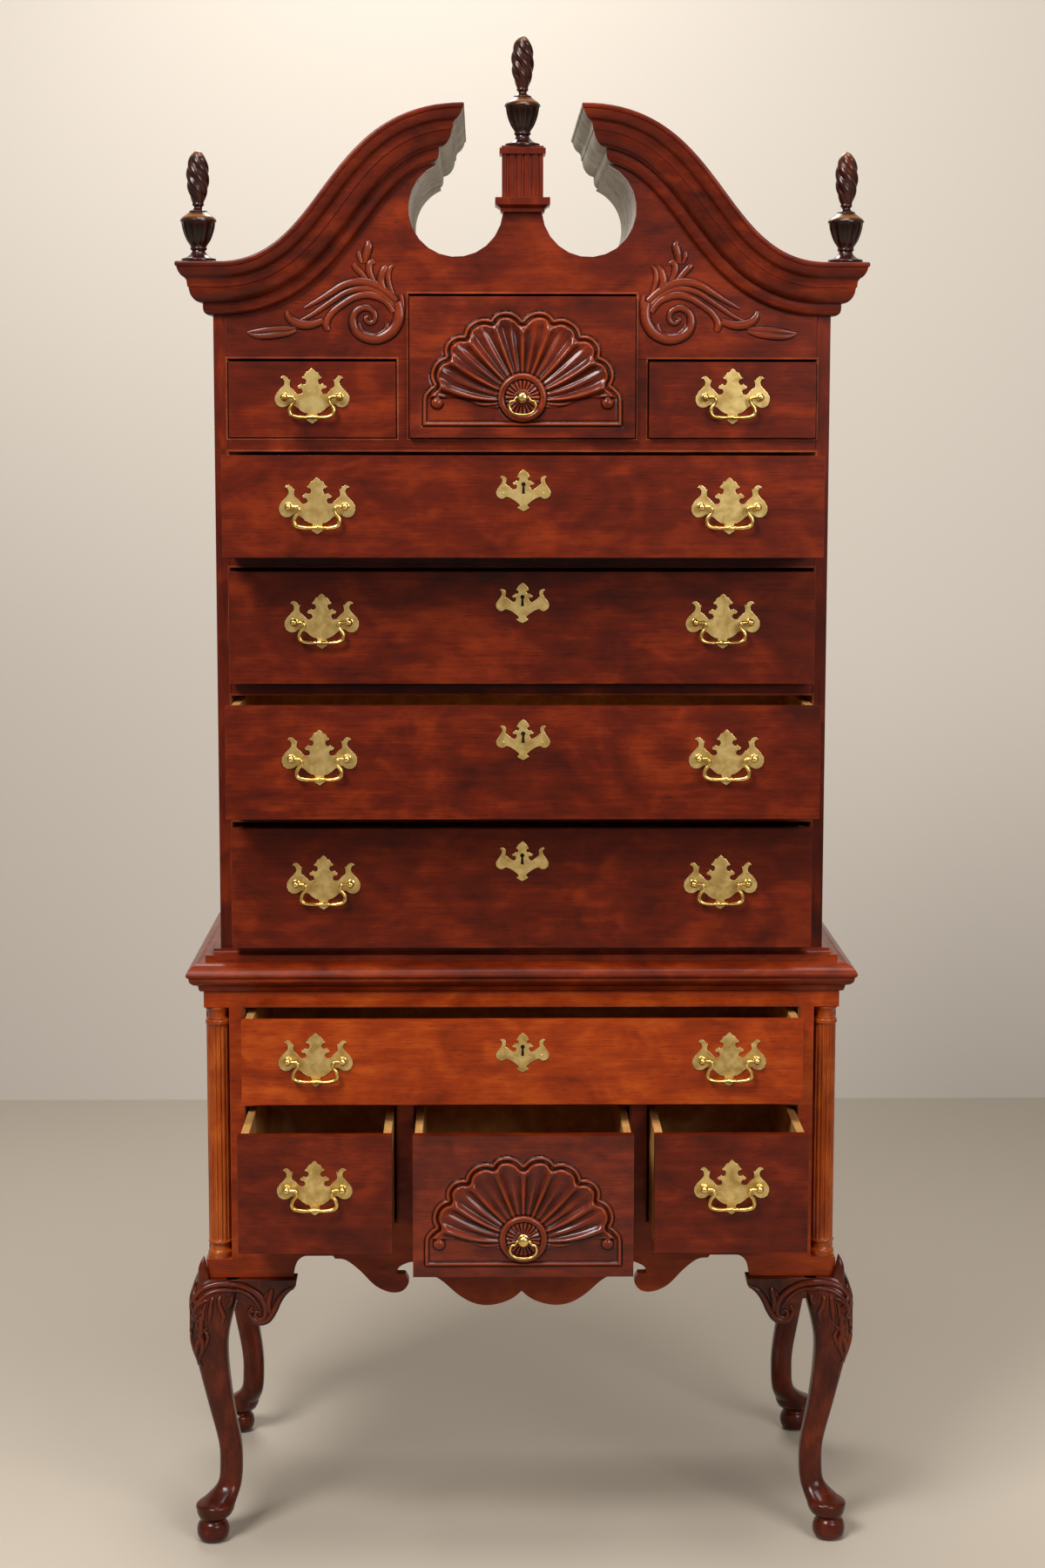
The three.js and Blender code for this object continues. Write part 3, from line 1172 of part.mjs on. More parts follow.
function addDrawer(spec) {
  addPiece(`drawer_${spec.name}`, drawer(spec), MAHOGANY);
  const face = spec.face - spec.open - SEAT_GAP;
  const bottom = spec.sill + DRAWER_GAP;
  const middle = (bottom + spec.sill + spec.height - DRAWER_HEAD_GAP) / 2;
  (spec.handles ?? []).forEach(({ x, rise }) => {
    const hand = x < 0 ? '_left' : '_right';
    addHandle(spec.name + (x === 0 ? '' : hand), new THREE.Vector3(spec.x + x, face, middle + rise));
  });
  if (spec.shellScale) {
    const hubFace = face - SHELL_RELIEF * SHELL_HUB_SHARES.at(-1)[1];
    addPull(spec.name, new THREE.Vector3(spec.x, hubFace, bottom + SHELL_HUB_RISE * spec.shellScale));
  }
}

addCases();
addFinials();
addLegs();
DRAWERS.forEach(addDrawer);

const bounds = new THREE.Box3().setFromObject(highboy);
const centre = bounds.getCenter(new THREE.Vector3());
highboy.position.set(-centre.x, -centre.y, -bounds.min.z);
highboy.updateMatrixWorld(true);

export default highboy;
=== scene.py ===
"""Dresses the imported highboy: polished and carved mahogany, brass, lamps and camera.

New pieces are drawn in millimetres in the maker's frame, with X to the right, Y to the back from the
front of the upper case and Z up from the floor. Each one is then scaled to metres and set in place.
"""

import json
import logging
import math
from collections.abc import Callable, Sequence
from dataclasses import dataclass, field
from enum import Enum
from functools import cache

import bmesh
import bpy
import numpy as np
from mathutils import Euler, Matrix, Vector
from mathutils.bvhtree import BVHTree

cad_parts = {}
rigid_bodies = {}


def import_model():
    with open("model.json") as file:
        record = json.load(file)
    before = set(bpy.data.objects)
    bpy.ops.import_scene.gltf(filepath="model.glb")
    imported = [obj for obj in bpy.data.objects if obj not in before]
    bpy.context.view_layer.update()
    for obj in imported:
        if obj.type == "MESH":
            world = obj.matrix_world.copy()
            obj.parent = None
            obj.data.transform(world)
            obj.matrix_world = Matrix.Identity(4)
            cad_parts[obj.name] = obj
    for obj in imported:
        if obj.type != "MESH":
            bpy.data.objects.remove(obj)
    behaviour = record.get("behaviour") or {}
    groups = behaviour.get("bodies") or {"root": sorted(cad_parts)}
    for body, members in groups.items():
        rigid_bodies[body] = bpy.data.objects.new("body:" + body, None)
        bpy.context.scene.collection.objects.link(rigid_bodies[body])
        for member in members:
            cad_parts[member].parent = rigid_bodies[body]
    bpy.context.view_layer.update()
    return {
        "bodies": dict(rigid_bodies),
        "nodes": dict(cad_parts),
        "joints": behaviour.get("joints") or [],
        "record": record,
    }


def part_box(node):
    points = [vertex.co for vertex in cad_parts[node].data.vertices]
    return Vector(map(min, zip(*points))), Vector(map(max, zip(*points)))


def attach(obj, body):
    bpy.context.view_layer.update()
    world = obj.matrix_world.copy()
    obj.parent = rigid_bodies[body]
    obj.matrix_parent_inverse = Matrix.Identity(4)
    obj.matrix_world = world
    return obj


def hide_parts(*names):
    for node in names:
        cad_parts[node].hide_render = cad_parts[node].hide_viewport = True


log = logging.getLogger("highboy")

MM = 0.001
FIT = 0.3
Point = tuple[float, ...]
Color = tuple[float, float, float, float]
Chooser = Callable[[Vector, Vector], int]


def srgb(red: int, green: int, blue: int) -> Color:
    """A colour as a picture shows it, from 0 to 255, as the linear values that a shader takes."""
    shares = (v / 255 for v in (red, green, blue))
    return (*(((v + 0.055) / 1.055) ** 2.4 if v > 0.04 else v / 12.92 for v in shares), 1.0)


def scaled(color: Color, share: float) -> Color:
    """The same colour with more or less light."""
    return (*(share * v for v in color[:3]), 1.0)


# FINISHES


class Grain(Enum):
    """The way that the grain runs, as the turn that brings it along X."""

    ACROSS = (0.0, 0.0, 0.0)
    UPRIGHT = (0.0, math.pi / 2, 0.0)
    DEEP = (0.0, 0.0, -math.pi / 2)


class NodeSheet:
    """A node tree and short ways to add to it."""

    def __init__(self, tree: bpy.types.NodeTree) -> None:
        """Takes the tree of a material, a group or the world."""
        self.tree = tree

    def feed(self, socket: bpy.types.NodeSocket, value: object) -> None:
        """Links an output to an input, or sets the input's own value.

        Args:
            socket: The input.
            value: An output, a number, a vector or a colour.
        """
        if isinstance(value, bpy.types.NodeSocket):
            self.tree.links.new(value, socket)
        else:
            socket.default_value = value

    def fill(self, node: bpy.types.Node, **values: object) -> None:
        """Sets a node's properties and feeds its inputs.

        Args:
            node: The node.
            **values: Properties by name, or inputs by name with blanks as underscores.
        """
        for name, value in values.items():
            if hasattr(node, name):
                setattr(node, name, value)
            else:
                self.feed(node.inputs[name.replace("_", " ")], value)

    def add(self, kind: str, **values: object) -> bpy.types.Node:
        """Adds one node and fills it.

        Args:
            kind: The node's type name.
            **values: What the node is filled with.

        Returns:
            The new node.
        """
        node = self.tree.nodes.new(kind)
        self.fill(node, **values)
        return node

    def math(self, operation: str, *values: object) -> bpy.types.NodeSocket:
        """Adds one sum of numbers and outputs.

        Args:
            operation: The operation's name.
            *values: Numbers or outputs, in order.

        Returns:
            The result's output.
        """
        node = self.add("ShaderNodeMath", operation=operation)
        for socket, value in zip(node.inputs, values):
            self.feed(socket, value)
        return node.outputs[0]

    def noise(
        self, vector: bpy.types.NodeSocket, stretch: float, scale: object, detail: float, bend: float = 0.0
    ) -> bpy.types.NodeSocket:
        """Adds noise that is drawn out along X.

        Args:
            vector: Where the pattern is read.
            stretch: The pattern's scale along X, as a share of its scale across.
            scale: The noise's scale, a number or an output.
            detail: The noise's detail.
            bend: The noise's distortion.

        Returns:
            The noise's value.
        """
        drawn_out = self.add("ShaderNodeMapping", Vector=vector, Scale=(stretch, 1.0, 1.0)).outputs[0]
        noise = self.add("ShaderNodeTexNoise", Vector=drawn_out, Scale=scale, Detail=detail, Distortion=bend)
        return noise.outputs[0]

    def spread(self, value: bpy.types.NodeSocket, low: float, high: float) -> bpy.types.NodeSocket:
        """Spreads a number from 0 to 1 over a range."""
        return self.add("ShaderNodeMapRange", Value=value, To_Min=low, To_Max=high).outputs[0]

    def dents(self, height: bpy.types.NodeSocket, strength: float, distance: float) -> bpy.types.NodeSocket:
        """Makes a fine relief of a height."""
        return self.add("ShaderNodeBump", Height=height, Strength=strength, Distance=distance).outputs[0]

    def ramp(self, share: bpy.types.NodeSocket, stops: Sequence[tuple[float, Color]]) -> bpy.types.NodeSocket:
        """Gives a number a colour.

        Args:
            share: The number's output.
            stops: Places from 0 to 1, each with its colour.

        Returns:
            The colour's output.
        """
        node = self.add("ShaderNodeValToRGB", Fac=share)
        elements = node.color_ramp.elements
        while len(elements) < len(stops):
            elements.new(0.5)
        for element, (place, color) in zip(elements, stops):
            element.position = place
            element.color = color
        return node.outputs["Color"]

    def mixed(self, share: bpy.types.NodeSocket, under: object, over: Color) -> bpy.types.NodeSocket:
        """Lays one colour over another by a mask.

        Args:
            share: How much of the upper colour shows.
            under: The lower colour or its output.
            over: The upper colour.

        Returns:
            The mixed colour's output.
        """
        node = self.add("ShaderNodeMix", data_type="RGBA")
        for number, value in ((0, share), (6, under), (7, over)):
            self.feed(node.inputs[number], value)
        return node.outputs[2]


class EffectGroup(NodeSheet):
    """A shader node group that several finishes share."""

    def __init__(self, name: str, **inputs: str) -> None:
        """Starts the group with its inputs.

        Args:
            name: The group's name.
            **inputs: The kind of each input, by name with blanks as underscores.
        """
        super().__init__(bpy.data.node_groups.new(name, "ShaderNodeTree"))
        for label, kind in inputs.items():
            label = label.replace("_", " ")
            self.tree.interface.new_socket(label, in_out="INPUT", socket_type=f"NodeSocket{kind}")
        self.given = self.add("NodeGroupInput").outputs

    def put_out(self, **values: bpy.types.NodeSocket) -> bpy.types.NodeTree:
        """Ends the group with its outputs, all of them numbers.

        Args:
            **values: What each output carries.

        Returns:
            The group's tree.
        """
        for name in values:
            self.tree.interface.new_socket(name, in_out="OUTPUT", socket_type="NodeSocketFloat")
        self.add("NodeGroupOutput", **values)
        return self.tree


@cache
def wood_figure() -> bpy.types.NodeTree:
    """Makes the group that draws a board's mottle, its streaks and its pores.

    Returns:
        The group, made once and then shared.
    """
    group = EffectGroup("Wood figure", Vector="Vector", Mottle_Scale="Float", Pore_Strength="Float")
    vector, scale = group.given["Vector"], group.given["Mottle Scale"]
    mottle = group.noise(vector, stretch=0.7, scale=scale, detail=3.0, bend=1.1)
    cloud = group.noise(vector, stretch=0.55, scale=group.math("MULTIPLY", scale, 4.0), detail=3.0, bend=0.5)
    streak = group.noise(vector, stretch=0.06, scale=70.0, detail=3.0, bend=0.3)
    line = group.noise(vector, stretch=0.04, scale=420.0, detail=2.0)
    pore = group.noise(vector, stretch=0.06, scale=1100.0, detail=1.0)
    layers = [
        group.math("MULTIPLY", layer, share)
        for layer, share in ((mottle, 0.46), (cloud, 0.24), (streak, 0.16), (line, 0.14))
    ]
    tone = group.math("ADD", group.math("ADD", *layers[:2]), group.math("ADD", *layers[2:]))
    deep = group.add("ShaderNodeMapRange", Value=pore, From_Min=0.6, From_Max=0.74).outputs[0]
    pores = group.math("MULTIPLY", deep, group.given["Pore Strength"])
    height = group.math("SUBTRACT", group.math("MULTIPLY", line, 0.25), pores)
    return group.put_out(Tone=tone, Pores=pores, Height=height)


@cache
def relief_shading() -> bpy.types.NodeTree:
    """Makes the group that sorts carved relief into masks: painted shade in the hollows, and lighter crests
    that are partly rubbed wear and partly a painted highlight.

    Returns:
        The group, made once and then shared.
    """
    group = EffectGroup("Relief shading", Relief="Float")
    hollow, crest = (
        group.add(
            "ShaderNodeMapRange",
            interpolation_type="SMOOTHSTEP",
            Value=group.given["Relief"],
            From_Min=none,
            From_Max=full,
        )
        for none, full in ((0.47, 0.2), (0.56, 0.9))
    )
    return group.put_out(Hollow=hollow.outputs[0], Crest=crest.outputs[0])


def start_material(name: str) -> tuple[bpy.types.Material, NodeSheet, bpy.types.Node]:
    """Starts a material with an empty tree, its shader and its output.

    Args:
        name: The material's name.

    Returns:
        The material, its sheet and the Principled shader.
    """
    material = bpy.data.materials.new(name)
    material.use_nodes = True
    material.node_tree.nodes.clear()
    sheet = NodeSheet(material.node_tree)
    shader = sheet.add("ShaderNodeBsdfPrincipled")
    sheet.add("ShaderNodeOutputMaterial", Surface=shader.outputs[0])
    return material, sheet, shader


@dataclass(frozen=True)
class Finish:
    """A finish whose material is built once and then shared."""

    name: str

    def material(self) -> bpy.types.Material:
        """Builds the material once and then hands out the same one.

        Returns:
            The material.
        """
        made = bpy.data.materials.get(self.name)
        if made:
            return made
        material, sheet, shader = start_material(self.name)
        self.dress(sheet, shader)
        return material

    def dress(self, sheet: NodeSheet, shader: bpy.types.Node) -> None:
        """Fills a new material, each kind of finish in its own way."""
        raise NotImplementedError


@dataclass(frozen=True)
class WoodFinish(Finish):
    """Stained and polished wood: three tones along the figure, pores and a coat of lacquer."""

    tones: tuple[Color, Color, Color]
    grain: Grain = Grain.ACROSS
    mottle_scale: float = 11.0
    pore_strength: float = 0.5
    roughness: float = 0.3
    coat: float = 0.07
    crest: Color | None = None
    tone_places: Point = (0.36, 0.5, 0.64)
    pore_shade: float = 0.25
    # Painted shade in carved hollows: how dark it is and how much of it shows
    hollow_shade: float = 0.16
    hollow_share: float = 0.85
    crest_share: float = 0.7
    swing: float = 0.06
    coat_roughness: float = 0.1
    specular: float = 0.19

    def dress(self, sheet: NodeSheet, shader: bpy.types.Node) -> None:
        """Draws the figure, and where the finish has a crest paints shade into the carving's hollows and
        lightens its crests, partly as wear and partly as a painted highlight.

        Args:
            sheet: The material's sheet.
            shader: Its shader.
        """
        place = sheet.add("ShaderNodeTexCoord").outputs["Object"]
        turned = sheet.add("ShaderNodeMapping", Vector=place, Rotation=self.grain.value).outputs[0]
        figure = sheet.add(
            "ShaderNodeGroup",
            node_tree=wood_figure(),
            Vector=turned,
            Mottle_Scale=self.mottle_scale,
            Pore_Strength=self.pore_strength,
        ).outputs
        dark = self.tones[0]
        color = sheet.ramp(figure["Tone"], list(zip(self.tone_places, self.tones)))
        color = sheet.mixed(figure["Pores"], color, scaled(dark, self.pore_shade))
        if self.crest:
            relief = sheet.add("ShaderNodeAttribute", attribute_name="relief").outputs["Fac"]
            relief_light = sheet.add("ShaderNodeGroup", node_tree=relief_shading(), Relief=relief).outputs
            # Painted shade: the carving's hollows darken towards a share of the dark tone
            hollow = sheet.math("MULTIPLY", relief_light["Hollow"], self.hollow_share)
            color = sheet.mixed(hollow, color, scaled(dark, self.hollow_shade))
            # The crests lighten towards the crest colour, partly as rubbed wear and partly as a painted
            # highlight
            color = sheet.mixed(sheet.math("MULTIPLY", relief_light["Crest"], self.crest_share), color, self.crest)
        sheet.fill(
            shader,
            Base_Color=color,
            Roughness=sheet.spread(figure["Tone"], self.roughness + self.swing, self.roughness - self.swing),
            Normal=sheet.dents(figure["Height"], strength=0.25, distance=0.0002),
            Coat_Weight=self.coat,
            Coat_Roughness=self.coat_roughness,
            Specular_IOR_Level=self.specular,
        )


@dataclass(frozen=True)
class BrassFinish(Finish):
    """Cast or cut brass with a little tarnish."""

    bright: Color
    dull: Color
    roughness: float
    duller: float = 0.12
    shinier: float = 0.08

    def dress(self, sheet: NodeSheet, shader: bpy.types.Node) -> None:
        """Clouds the brass and scuffs it.

        Args:
            sheet: The material's sheet.
            shader: Its shader.
        """
        place = sheet.add("ShaderNodeTexCoord").outputs["Object"]
        cloud = sheet.noise(place, stretch=1.0, scale=60.0, detail=4.0, bend=0.4)
        scuff = sheet.noise(place, stretch=0.2, scale=1500.0, detail=2.0)
        sheet.fill(
            shader,
            Base_Color=sheet.ramp(cloud, ((0.35, self.dull), (0.65, self.bright))),
            Roughness=sheet.spread(cloud, self.roughness + self.duller, self.roughness - self.shinier),
            Normal=sheet.dents(scuff, strength=0.12, distance=0.0001),
            Metallic=1.0,
        )


UPPER_TONES = (srgb(60, 15, 5), srgb(94, 26, 8), srgb(130, 44, 14))
LOWER_TONES = (srgb(108, 33, 6), srgb(152, 53, 11), srgb(186, 80, 21))
# The waist is darker than the lower case, partly its own tone and partly painted shade from the open drawer
# above it
WAIST_TONES = (srgb(72, 19, 6), srgb(114, 35, 9), srgb(152, 57, 17))
# The beads are lighter than the case wood as a painted highlight along the openings' edges
BEAD_TONES = (srgb(88, 30, 12), srgb(124, 50, 22), srgb(160, 78, 40))
COLUMN_TONES = (srgb(124, 46, 12), srgb(168, 72, 20), srgb(200, 102, 36))
CARVED_TONES = (srgb(46, 12, 5), srgb(82, 26, 9), srgb(122, 46, 17))
FINIAL_TONES = (srgb(26, 8, 4), srgb(48, 16, 8), srgb(76, 29, 13))
PALE_TONES = (srgb(160, 112, 58), srgb(194, 142, 80), srgb(218, 172, 108))
BACK_TONES = (srgb(118, 82, 50), srgb(134, 96, 60), srgb(150, 110, 72))
RAW_TONES = (srgb(150, 142, 130), srgb(182, 174, 161), srgb(204, 197, 185))
SHADE_TONES = (srgb(8, 5, 3), srgb(12, 7, 4), srgb(16, 9, 5))

UPPER_ACROSS = WoodFinish("upper_mahogany_across", UPPER_TONES)
UPPER_UPRIGHT = WoodFinish("upper_mahogany_upright", UPPER_TONES, Grain.UPRIGHT)
LOWER_ACROSS = WoodFinish("lower_mahogany_across", LOWER_TONES)
LOWER_UPRIGHT = WoodFinish("lower_mahogany_upright", LOWER_TONES, Grain.UPRIGHT)
WAIST_ACROSS = WoodFinish("waist_mahogany", WAIST_TONES)
BEAD_WOOD = WoodFinish("bead_mahogany", BEAD_TONES)
COLUMN_WOOD = WoodFinish("column_mahogany", COLUMN_TONES, Grain.UPRIGHT, roughness=0.24, coat=0.25)
# The crest colours lighten the carving's high points, partly as rubbed wear and partly as a painted
# highlight; the hollows get painted shade
SHELL_WOOD = WoodFinish("shell_mahogany", UPPER_TONES, roughness=0.24, coat=0.3, crest=srgb(146, 62, 24))
CARVED_WOOD = WoodFinish(
    "dark_carved_mahogany", CARVED_TONES, Grain.UPRIGHT, roughness=0.22, coat=0.14, crest=srgb(136, 54, 20)
)
FINIAL_WOOD = WoodFinish(
    "finial_mahogany", FINIAL_TONES, Grain.UPRIGHT, roughness=0.24, coat=0.35, crest=srgb(150, 96, 44)
)
DRAWER_WOOD = WoodFinish(
    "drawer_side_wood", PALE_TONES, Grain.DEEP, pore_strength=0.2, roughness=0.55, coat=0.0
)
BACK_WOOD = WoodFinish(
    "back_board_wood", BACK_TONES, Grain.UPRIGHT, mottle_scale=5.0, roughness=0.65, coat=0.0
)
RAW_WOOD = WoodFinish("raw_neck_wood", RAW_TONES, Grain.DEEP, roughness=0.7, coat=0.0)
KEYHOLE_DARK = WoodFinish("keyhole_shade", SHADE_TONES, roughness=0.8, coat=0.0)
PLATE_BRASS = BrassFinish("plate_brass", srgb(230, 202, 134), srgb(180, 148, 86), 0.38)
# The edge brass is brighter and shinier than the face brass: a painted highlight along the plates' cut edges
EDGE_BRASS = BrassFinish("edge_brass", srgb(240, 214, 146), srgb(210, 178, 104), 0.26)
CAST_BRASS = BrassFinish("cast_brass", srgb(238, 208, 130), srgb(204, 166, 86), 0.18)


# THE BENCH


def angles(count: int, start: float = 0.0) -> list[float]:
    """Even angles all the way round, the first one a share of a step on."""
    return [2 * math.pi * (k + start) / count for k in range(count)]


def squared_ring(center: float, half: float, power: float, count: int, z: float) -> list[Point]:
    """Draws a level ring between a circle and a square, on the diagonal of a corner.

    Args:
        center: X and Y of its middle.
        half: Half its width.
        power: 2 for a circle, more for a squarer ring.
        count: Its points.
        z: Its height.

    Returns:
        The ring's points.
    """
    ring = []
    for a in angles(count, 0.5):
        r = half / (abs(math.cos(a)) ** power + abs(math.sin(a)) ** power) ** (1 / power)
        ring.append((center + r * math.cos(a), center + r * math.sin(a), z))
    return ring


def curve_through(points: Sequence[Point], steps: int) -> list[Vector]:
    """Draws a smooth line through points.

    Args:
        points: The points, all with as many numbers.
        steps: How many steps each stretch gets.

    Returns:
        Points along the line.
    """
    knots = [Vector(p) for p in points]
    last = len(knots) - 1
    line = []
    for k in range(last):
        a, b, c, d = (knots[min(max(k + j, 0), last)] for j in (-1, 0, 1, 2))
        for step in range(steps):
            t = step / steps
            place = 2 * b + (c - a) * t
            place += (2 * a - 5 * b + 4 * c - d) * t**2
            place += (3 * b - a - 3 * c + d) * t**3
            line.append(0.5 * place)
    return [*line, knots[-1]]


def profile_of(*stretches: Sequence[Point], steps: int = 5) -> list[Vector]:
    """Joins smooth stretches at sharp corners.

    Args:
        *stretches: Points of each stretch; a stretch of two points stays straight.
        steps: Steps between two points of a smooth stretch.

    Returns:
        The points of the whole profile.
    """
    nearest = 0.01
    line: list[Vector] = []
    for stretch in stretches:
        part = [Vector(p) for p in stretch] if len(stretch) < 3 else curve_through(stretch, steps)
        line += [p for k, p in enumerate(part) if k or not line or (p - line[-1]).length > nearest]
    return line


def front_of(limit: float) -> Chooser:
    """Tells the faces in front of a depth, which get the first finish, from the rest."""
    return lambda center, normal: int(center.y >= limit)


def face_or_edge(center: Vector, normal: Vector) -> int:
    """Gives the first finish to faces that look to the front and the second to the rest."""
    return int(normal.y > -0.95)


class Bench:
    """Where pieces are made, in millimetres, and handed over to the frame."""

    softened_from = math.radians(40)
    axis_radius = 0.02

    def __init__(self, frame: dict, face_y: float) -> None:
        """Takes the frame and where its upper case begins.

        Args:
            face_y: Y of the upper case's front in the row frame, in metres.
        """
        self.frame = frame
        self.face_y = face_y

    @staticmethod
    def clear_choice() -> None:
        """Deselects every object."""
        bpy.ops.object.select_all(action="DESELECT")

    @staticmethod
    def choose(*objects: bpy.types.Object) -> None:
        """Selects these objects alone and makes the first one active.

        Args:
            *objects: The objects.
        """
        Bench.clear_choice()
        for piece in objects:
            piece.select_set(True)
        bpy.context.view_layer.objects.active = objects[0]

    @staticmethod
    def apply(piece: bpy.types.Object, modifier: bpy.types.Modifier) -> None:
        """Applies a piece's modifier to its mesh."""
        Bench.choose(piece)
        bpy.ops.object.modifier_apply(modifier=modifier.name)

    @staticmethod
    def turn_out(piece: bpy.types.Object) -> None:
        """Turns the faces of a mirrored piece round.

        Args:
            piece: The piece.
        """
        Bench.choose(piece)
        bpy.ops.object.mode_set(mode="EDIT")
        bpy.ops.mesh.select_all(action="SELECT")
        bpy.ops.mesh.flip_normals()
        bpy.ops.object.mode_set(mode="OBJECT")

    @staticmethod
    def mark_relief(piece: bpy.types.Object, relief: Sequence[float]) -> None:
        """Keeps how high each vertex of a carving stands, from 0 in a hollow to 1 on a crest, for the
        finish's painted shade in hollows and lighter crests.
        """
        piece.data.attributes.new("relief", "FLOAT", "POINT").data.foreach_set("value", relief)

    def loft(self, rings: Sequence[Sequence[Point]]) -> bpy.types.Object:
        """Draws a closed skin by extruding a filled ring from place to place.

        Args:
            rings: The rings, each with as many points.

        Returns:
            The new piece.
        """
        self.clear_choice()
        bpy.ops.mesh.primitive_circle_add(vertices=len(rings[0]), fill_type="NGON", enter_editmode=True)
        piece = bpy.context.object
        for number, ring in enumerate(rings):
            if number:
                bpy.ops.mesh.extrude_region_move()
            edited = bmesh.from_edit_mesh(piece.data)
            face = next(f for f in edited.faces if f.select)
            for vertex, point in zip(face.verts[:], ring):
                vertex.co = point
        bmesh.update_edit_mesh(piece.data)
        bpy.ops.mesh.select_all(action="SELECT")
        bpy.ops.mesh.normals_make_consistent(inside=False)
        bpy.ops.object.mode_set(mode="OBJECT")
        return piece

    def prism(
        self, outline: Sequence[Point], front: float, back: float, bevel: float = 0.0
    ) -> bpy.types.Object:
        """Cuts a board whose outline is drawn in X and Z.

        Args:
            outline: The outline's points.
            front: Y of its front.
            back: Y of its back.
            bevel: Width of the softened edges.

        Returns:
            The new piece.
        """
        piece = self.loft([[(p[0], y, p[1]) for p in outline] for y in (front, back)])
        return self.beveled(piece, bevel) if bevel else piece

    def slab(self, low: Point, high: Point, bevel: float = 0.0) -> bpy.types.Object:
        """Makes a block between two corners.

        Args:
            low: The lowest corner.
            high: The highest corner.
            bevel: Width of the softened edges.

        Returns:
            The new piece.
        """
        outline = [(low[0], low[2]), (high[0], low[2]), (high[0], high[2]), (low[0], high[2])]
        return self.prism(outline, low[1], high[1], bevel)

    def turned(self, profile: Sequence[Point], sides: int, place: Point) -> bpy.types.Object:
        """Turns a profile round an axis that points to the front.

        Args:
            profile: Radius and distance along the axis, from one end to the other.
            sides: Points round each ring.
            place: Where the axis starts.

        Returns:
            The new piece.
        """
        x, y, z = place
        rings = []
        for radius, along in profile:
            r = max(radius, self.axis_radius)
            rings.append([(x + r * math.cos(a), y - along, z + r * math.sin(a)) for a in angles(sides)])
        return self.loft(rings)

    def rod(self, path: Sequence[Point], radii: Sequence[float], sides: int) -> bpy.types.Object:
        """Bends a round rod along a path.

        Args:
            path: The points of its centre line.
            radii: Its radius at each point.
            sides: Points round each ring.

        Returns:
            The new piece.
        """
        line = [Vector(p) for p in path]
        normal = Vector((0, 1, 0))
        rings = []
        for k, (point, radius) in enumerate(zip(line, radii)):
            along = (line[min(k + 1, len(line) - 1)] - line[max(k - 1, 0)]).normalized()
            normal = (normal - along * normal.dot(along)).normalized()
            across = along.cross(normal)
            spokes = [math.cos(a) * normal + math.sin(a) * across for a in angles(sides)]
            rings.append([tuple(point + radius * spoke) for spoke in spokes])
        return self.loft(rings)

    def beveled(self, piece: bpy.types.Object, width: float) -> bpy.types.Object:
        """Softens a piece's sharp edges.

        Args:
            piece: The piece.
            width: The bevel's width.

        Returns:
            The same piece.
        """
        modifier = piece.modifiers.new("softened", "BEVEL")
        modifier.width = width
        modifier.segments = 2
        modifier.limit_method = "ANGLE"
        modifier.angle_limit = self.softened_from
        modifier.use_clamp_overlap = False
        self.apply(piece, modifier)
        return piece

    def cut(self, piece: bpy.types.Object, tool: bpy.types.Object) -> None:
        """Cuts a hole into a piece.

        Args:
            piece: The piece.
            tool: The shape of the hole, which is used up.
        """
        modifier = piece.modifiers.new("hole", "BOOLEAN")
        modifier.object = tool
        modifier.solver = "EXACT"
        self.apply(piece, modifier)
        bpy.data.objects.remove(tool)

    def joined(self, *pieces: bpy.types.Object) -> bpy.types.Object:
        """Makes one object of several.

        Args:
            *pieces: The pieces; the first one is kept.

        Returns:
            The first piece, with all the meshes.
        """
        self.choose(*pieces)
        bpy.ops.object.join()
        return pieces[0]

    def copied(
        self, piece: bpy.types.Object, move: Point = (0, 0, 0), flip: Point = (1, 1, 1)
    ) -> bpy.types.Object:
        """Copies a piece with its own mesh, turned over and moved.

        Args:
            piece: The piece that is copied.
            move: How far the copy moves.
            flip: 1 or -1 for each axis.

        Returns:
            The copy.
        """
        copy = bpy.data.objects.new(piece.name, piece.data.copy())
        bpy.context.scene.collection.objects.link(copy)
        copy.data.transform(Matrix.Translation(move) @ Matrix.Diagonal((*flip, 1)))
        if math.prod(flip) < 0:
            self.turn_out(copy)
        return copy

    def node_copy(self, node: str, bevel: float = 0.8) -> bpy.types.Object:
        """Copies a CAD node as boards with merged faces and softened edges, in millimetres.

        Args:
            node: The node's name.
            bevel: Width of the softened edges.

        Returns:
            The copy, in the maker's frame.
        """
        copy = bpy.data.objects.new(node, self.frame["nodes"][node].data.copy())
        bpy.context.scene.collection.objects.link(copy)
        copy.data.transform(Matrix.Scale(1 / MM, 4) @ Matrix.Translation((0, -self.face_y, 0)))
        self.choose(copy)
        bpy.ops.mesh.customdata_custom_splitnormals_clear()
        bpy.ops.object.mode_set(mode="EDIT")
        bpy.ops.mesh.select_all(action="SELECT")
        bpy.ops.mesh.remove_doubles(threshold=0.01)
        bpy.ops.mesh.dissolve_limited(angle_limit=math.radians(0.5))
        bpy.ops.object.mode_set(mode="OBJECT")
        return self.beveled(copy, bevel)

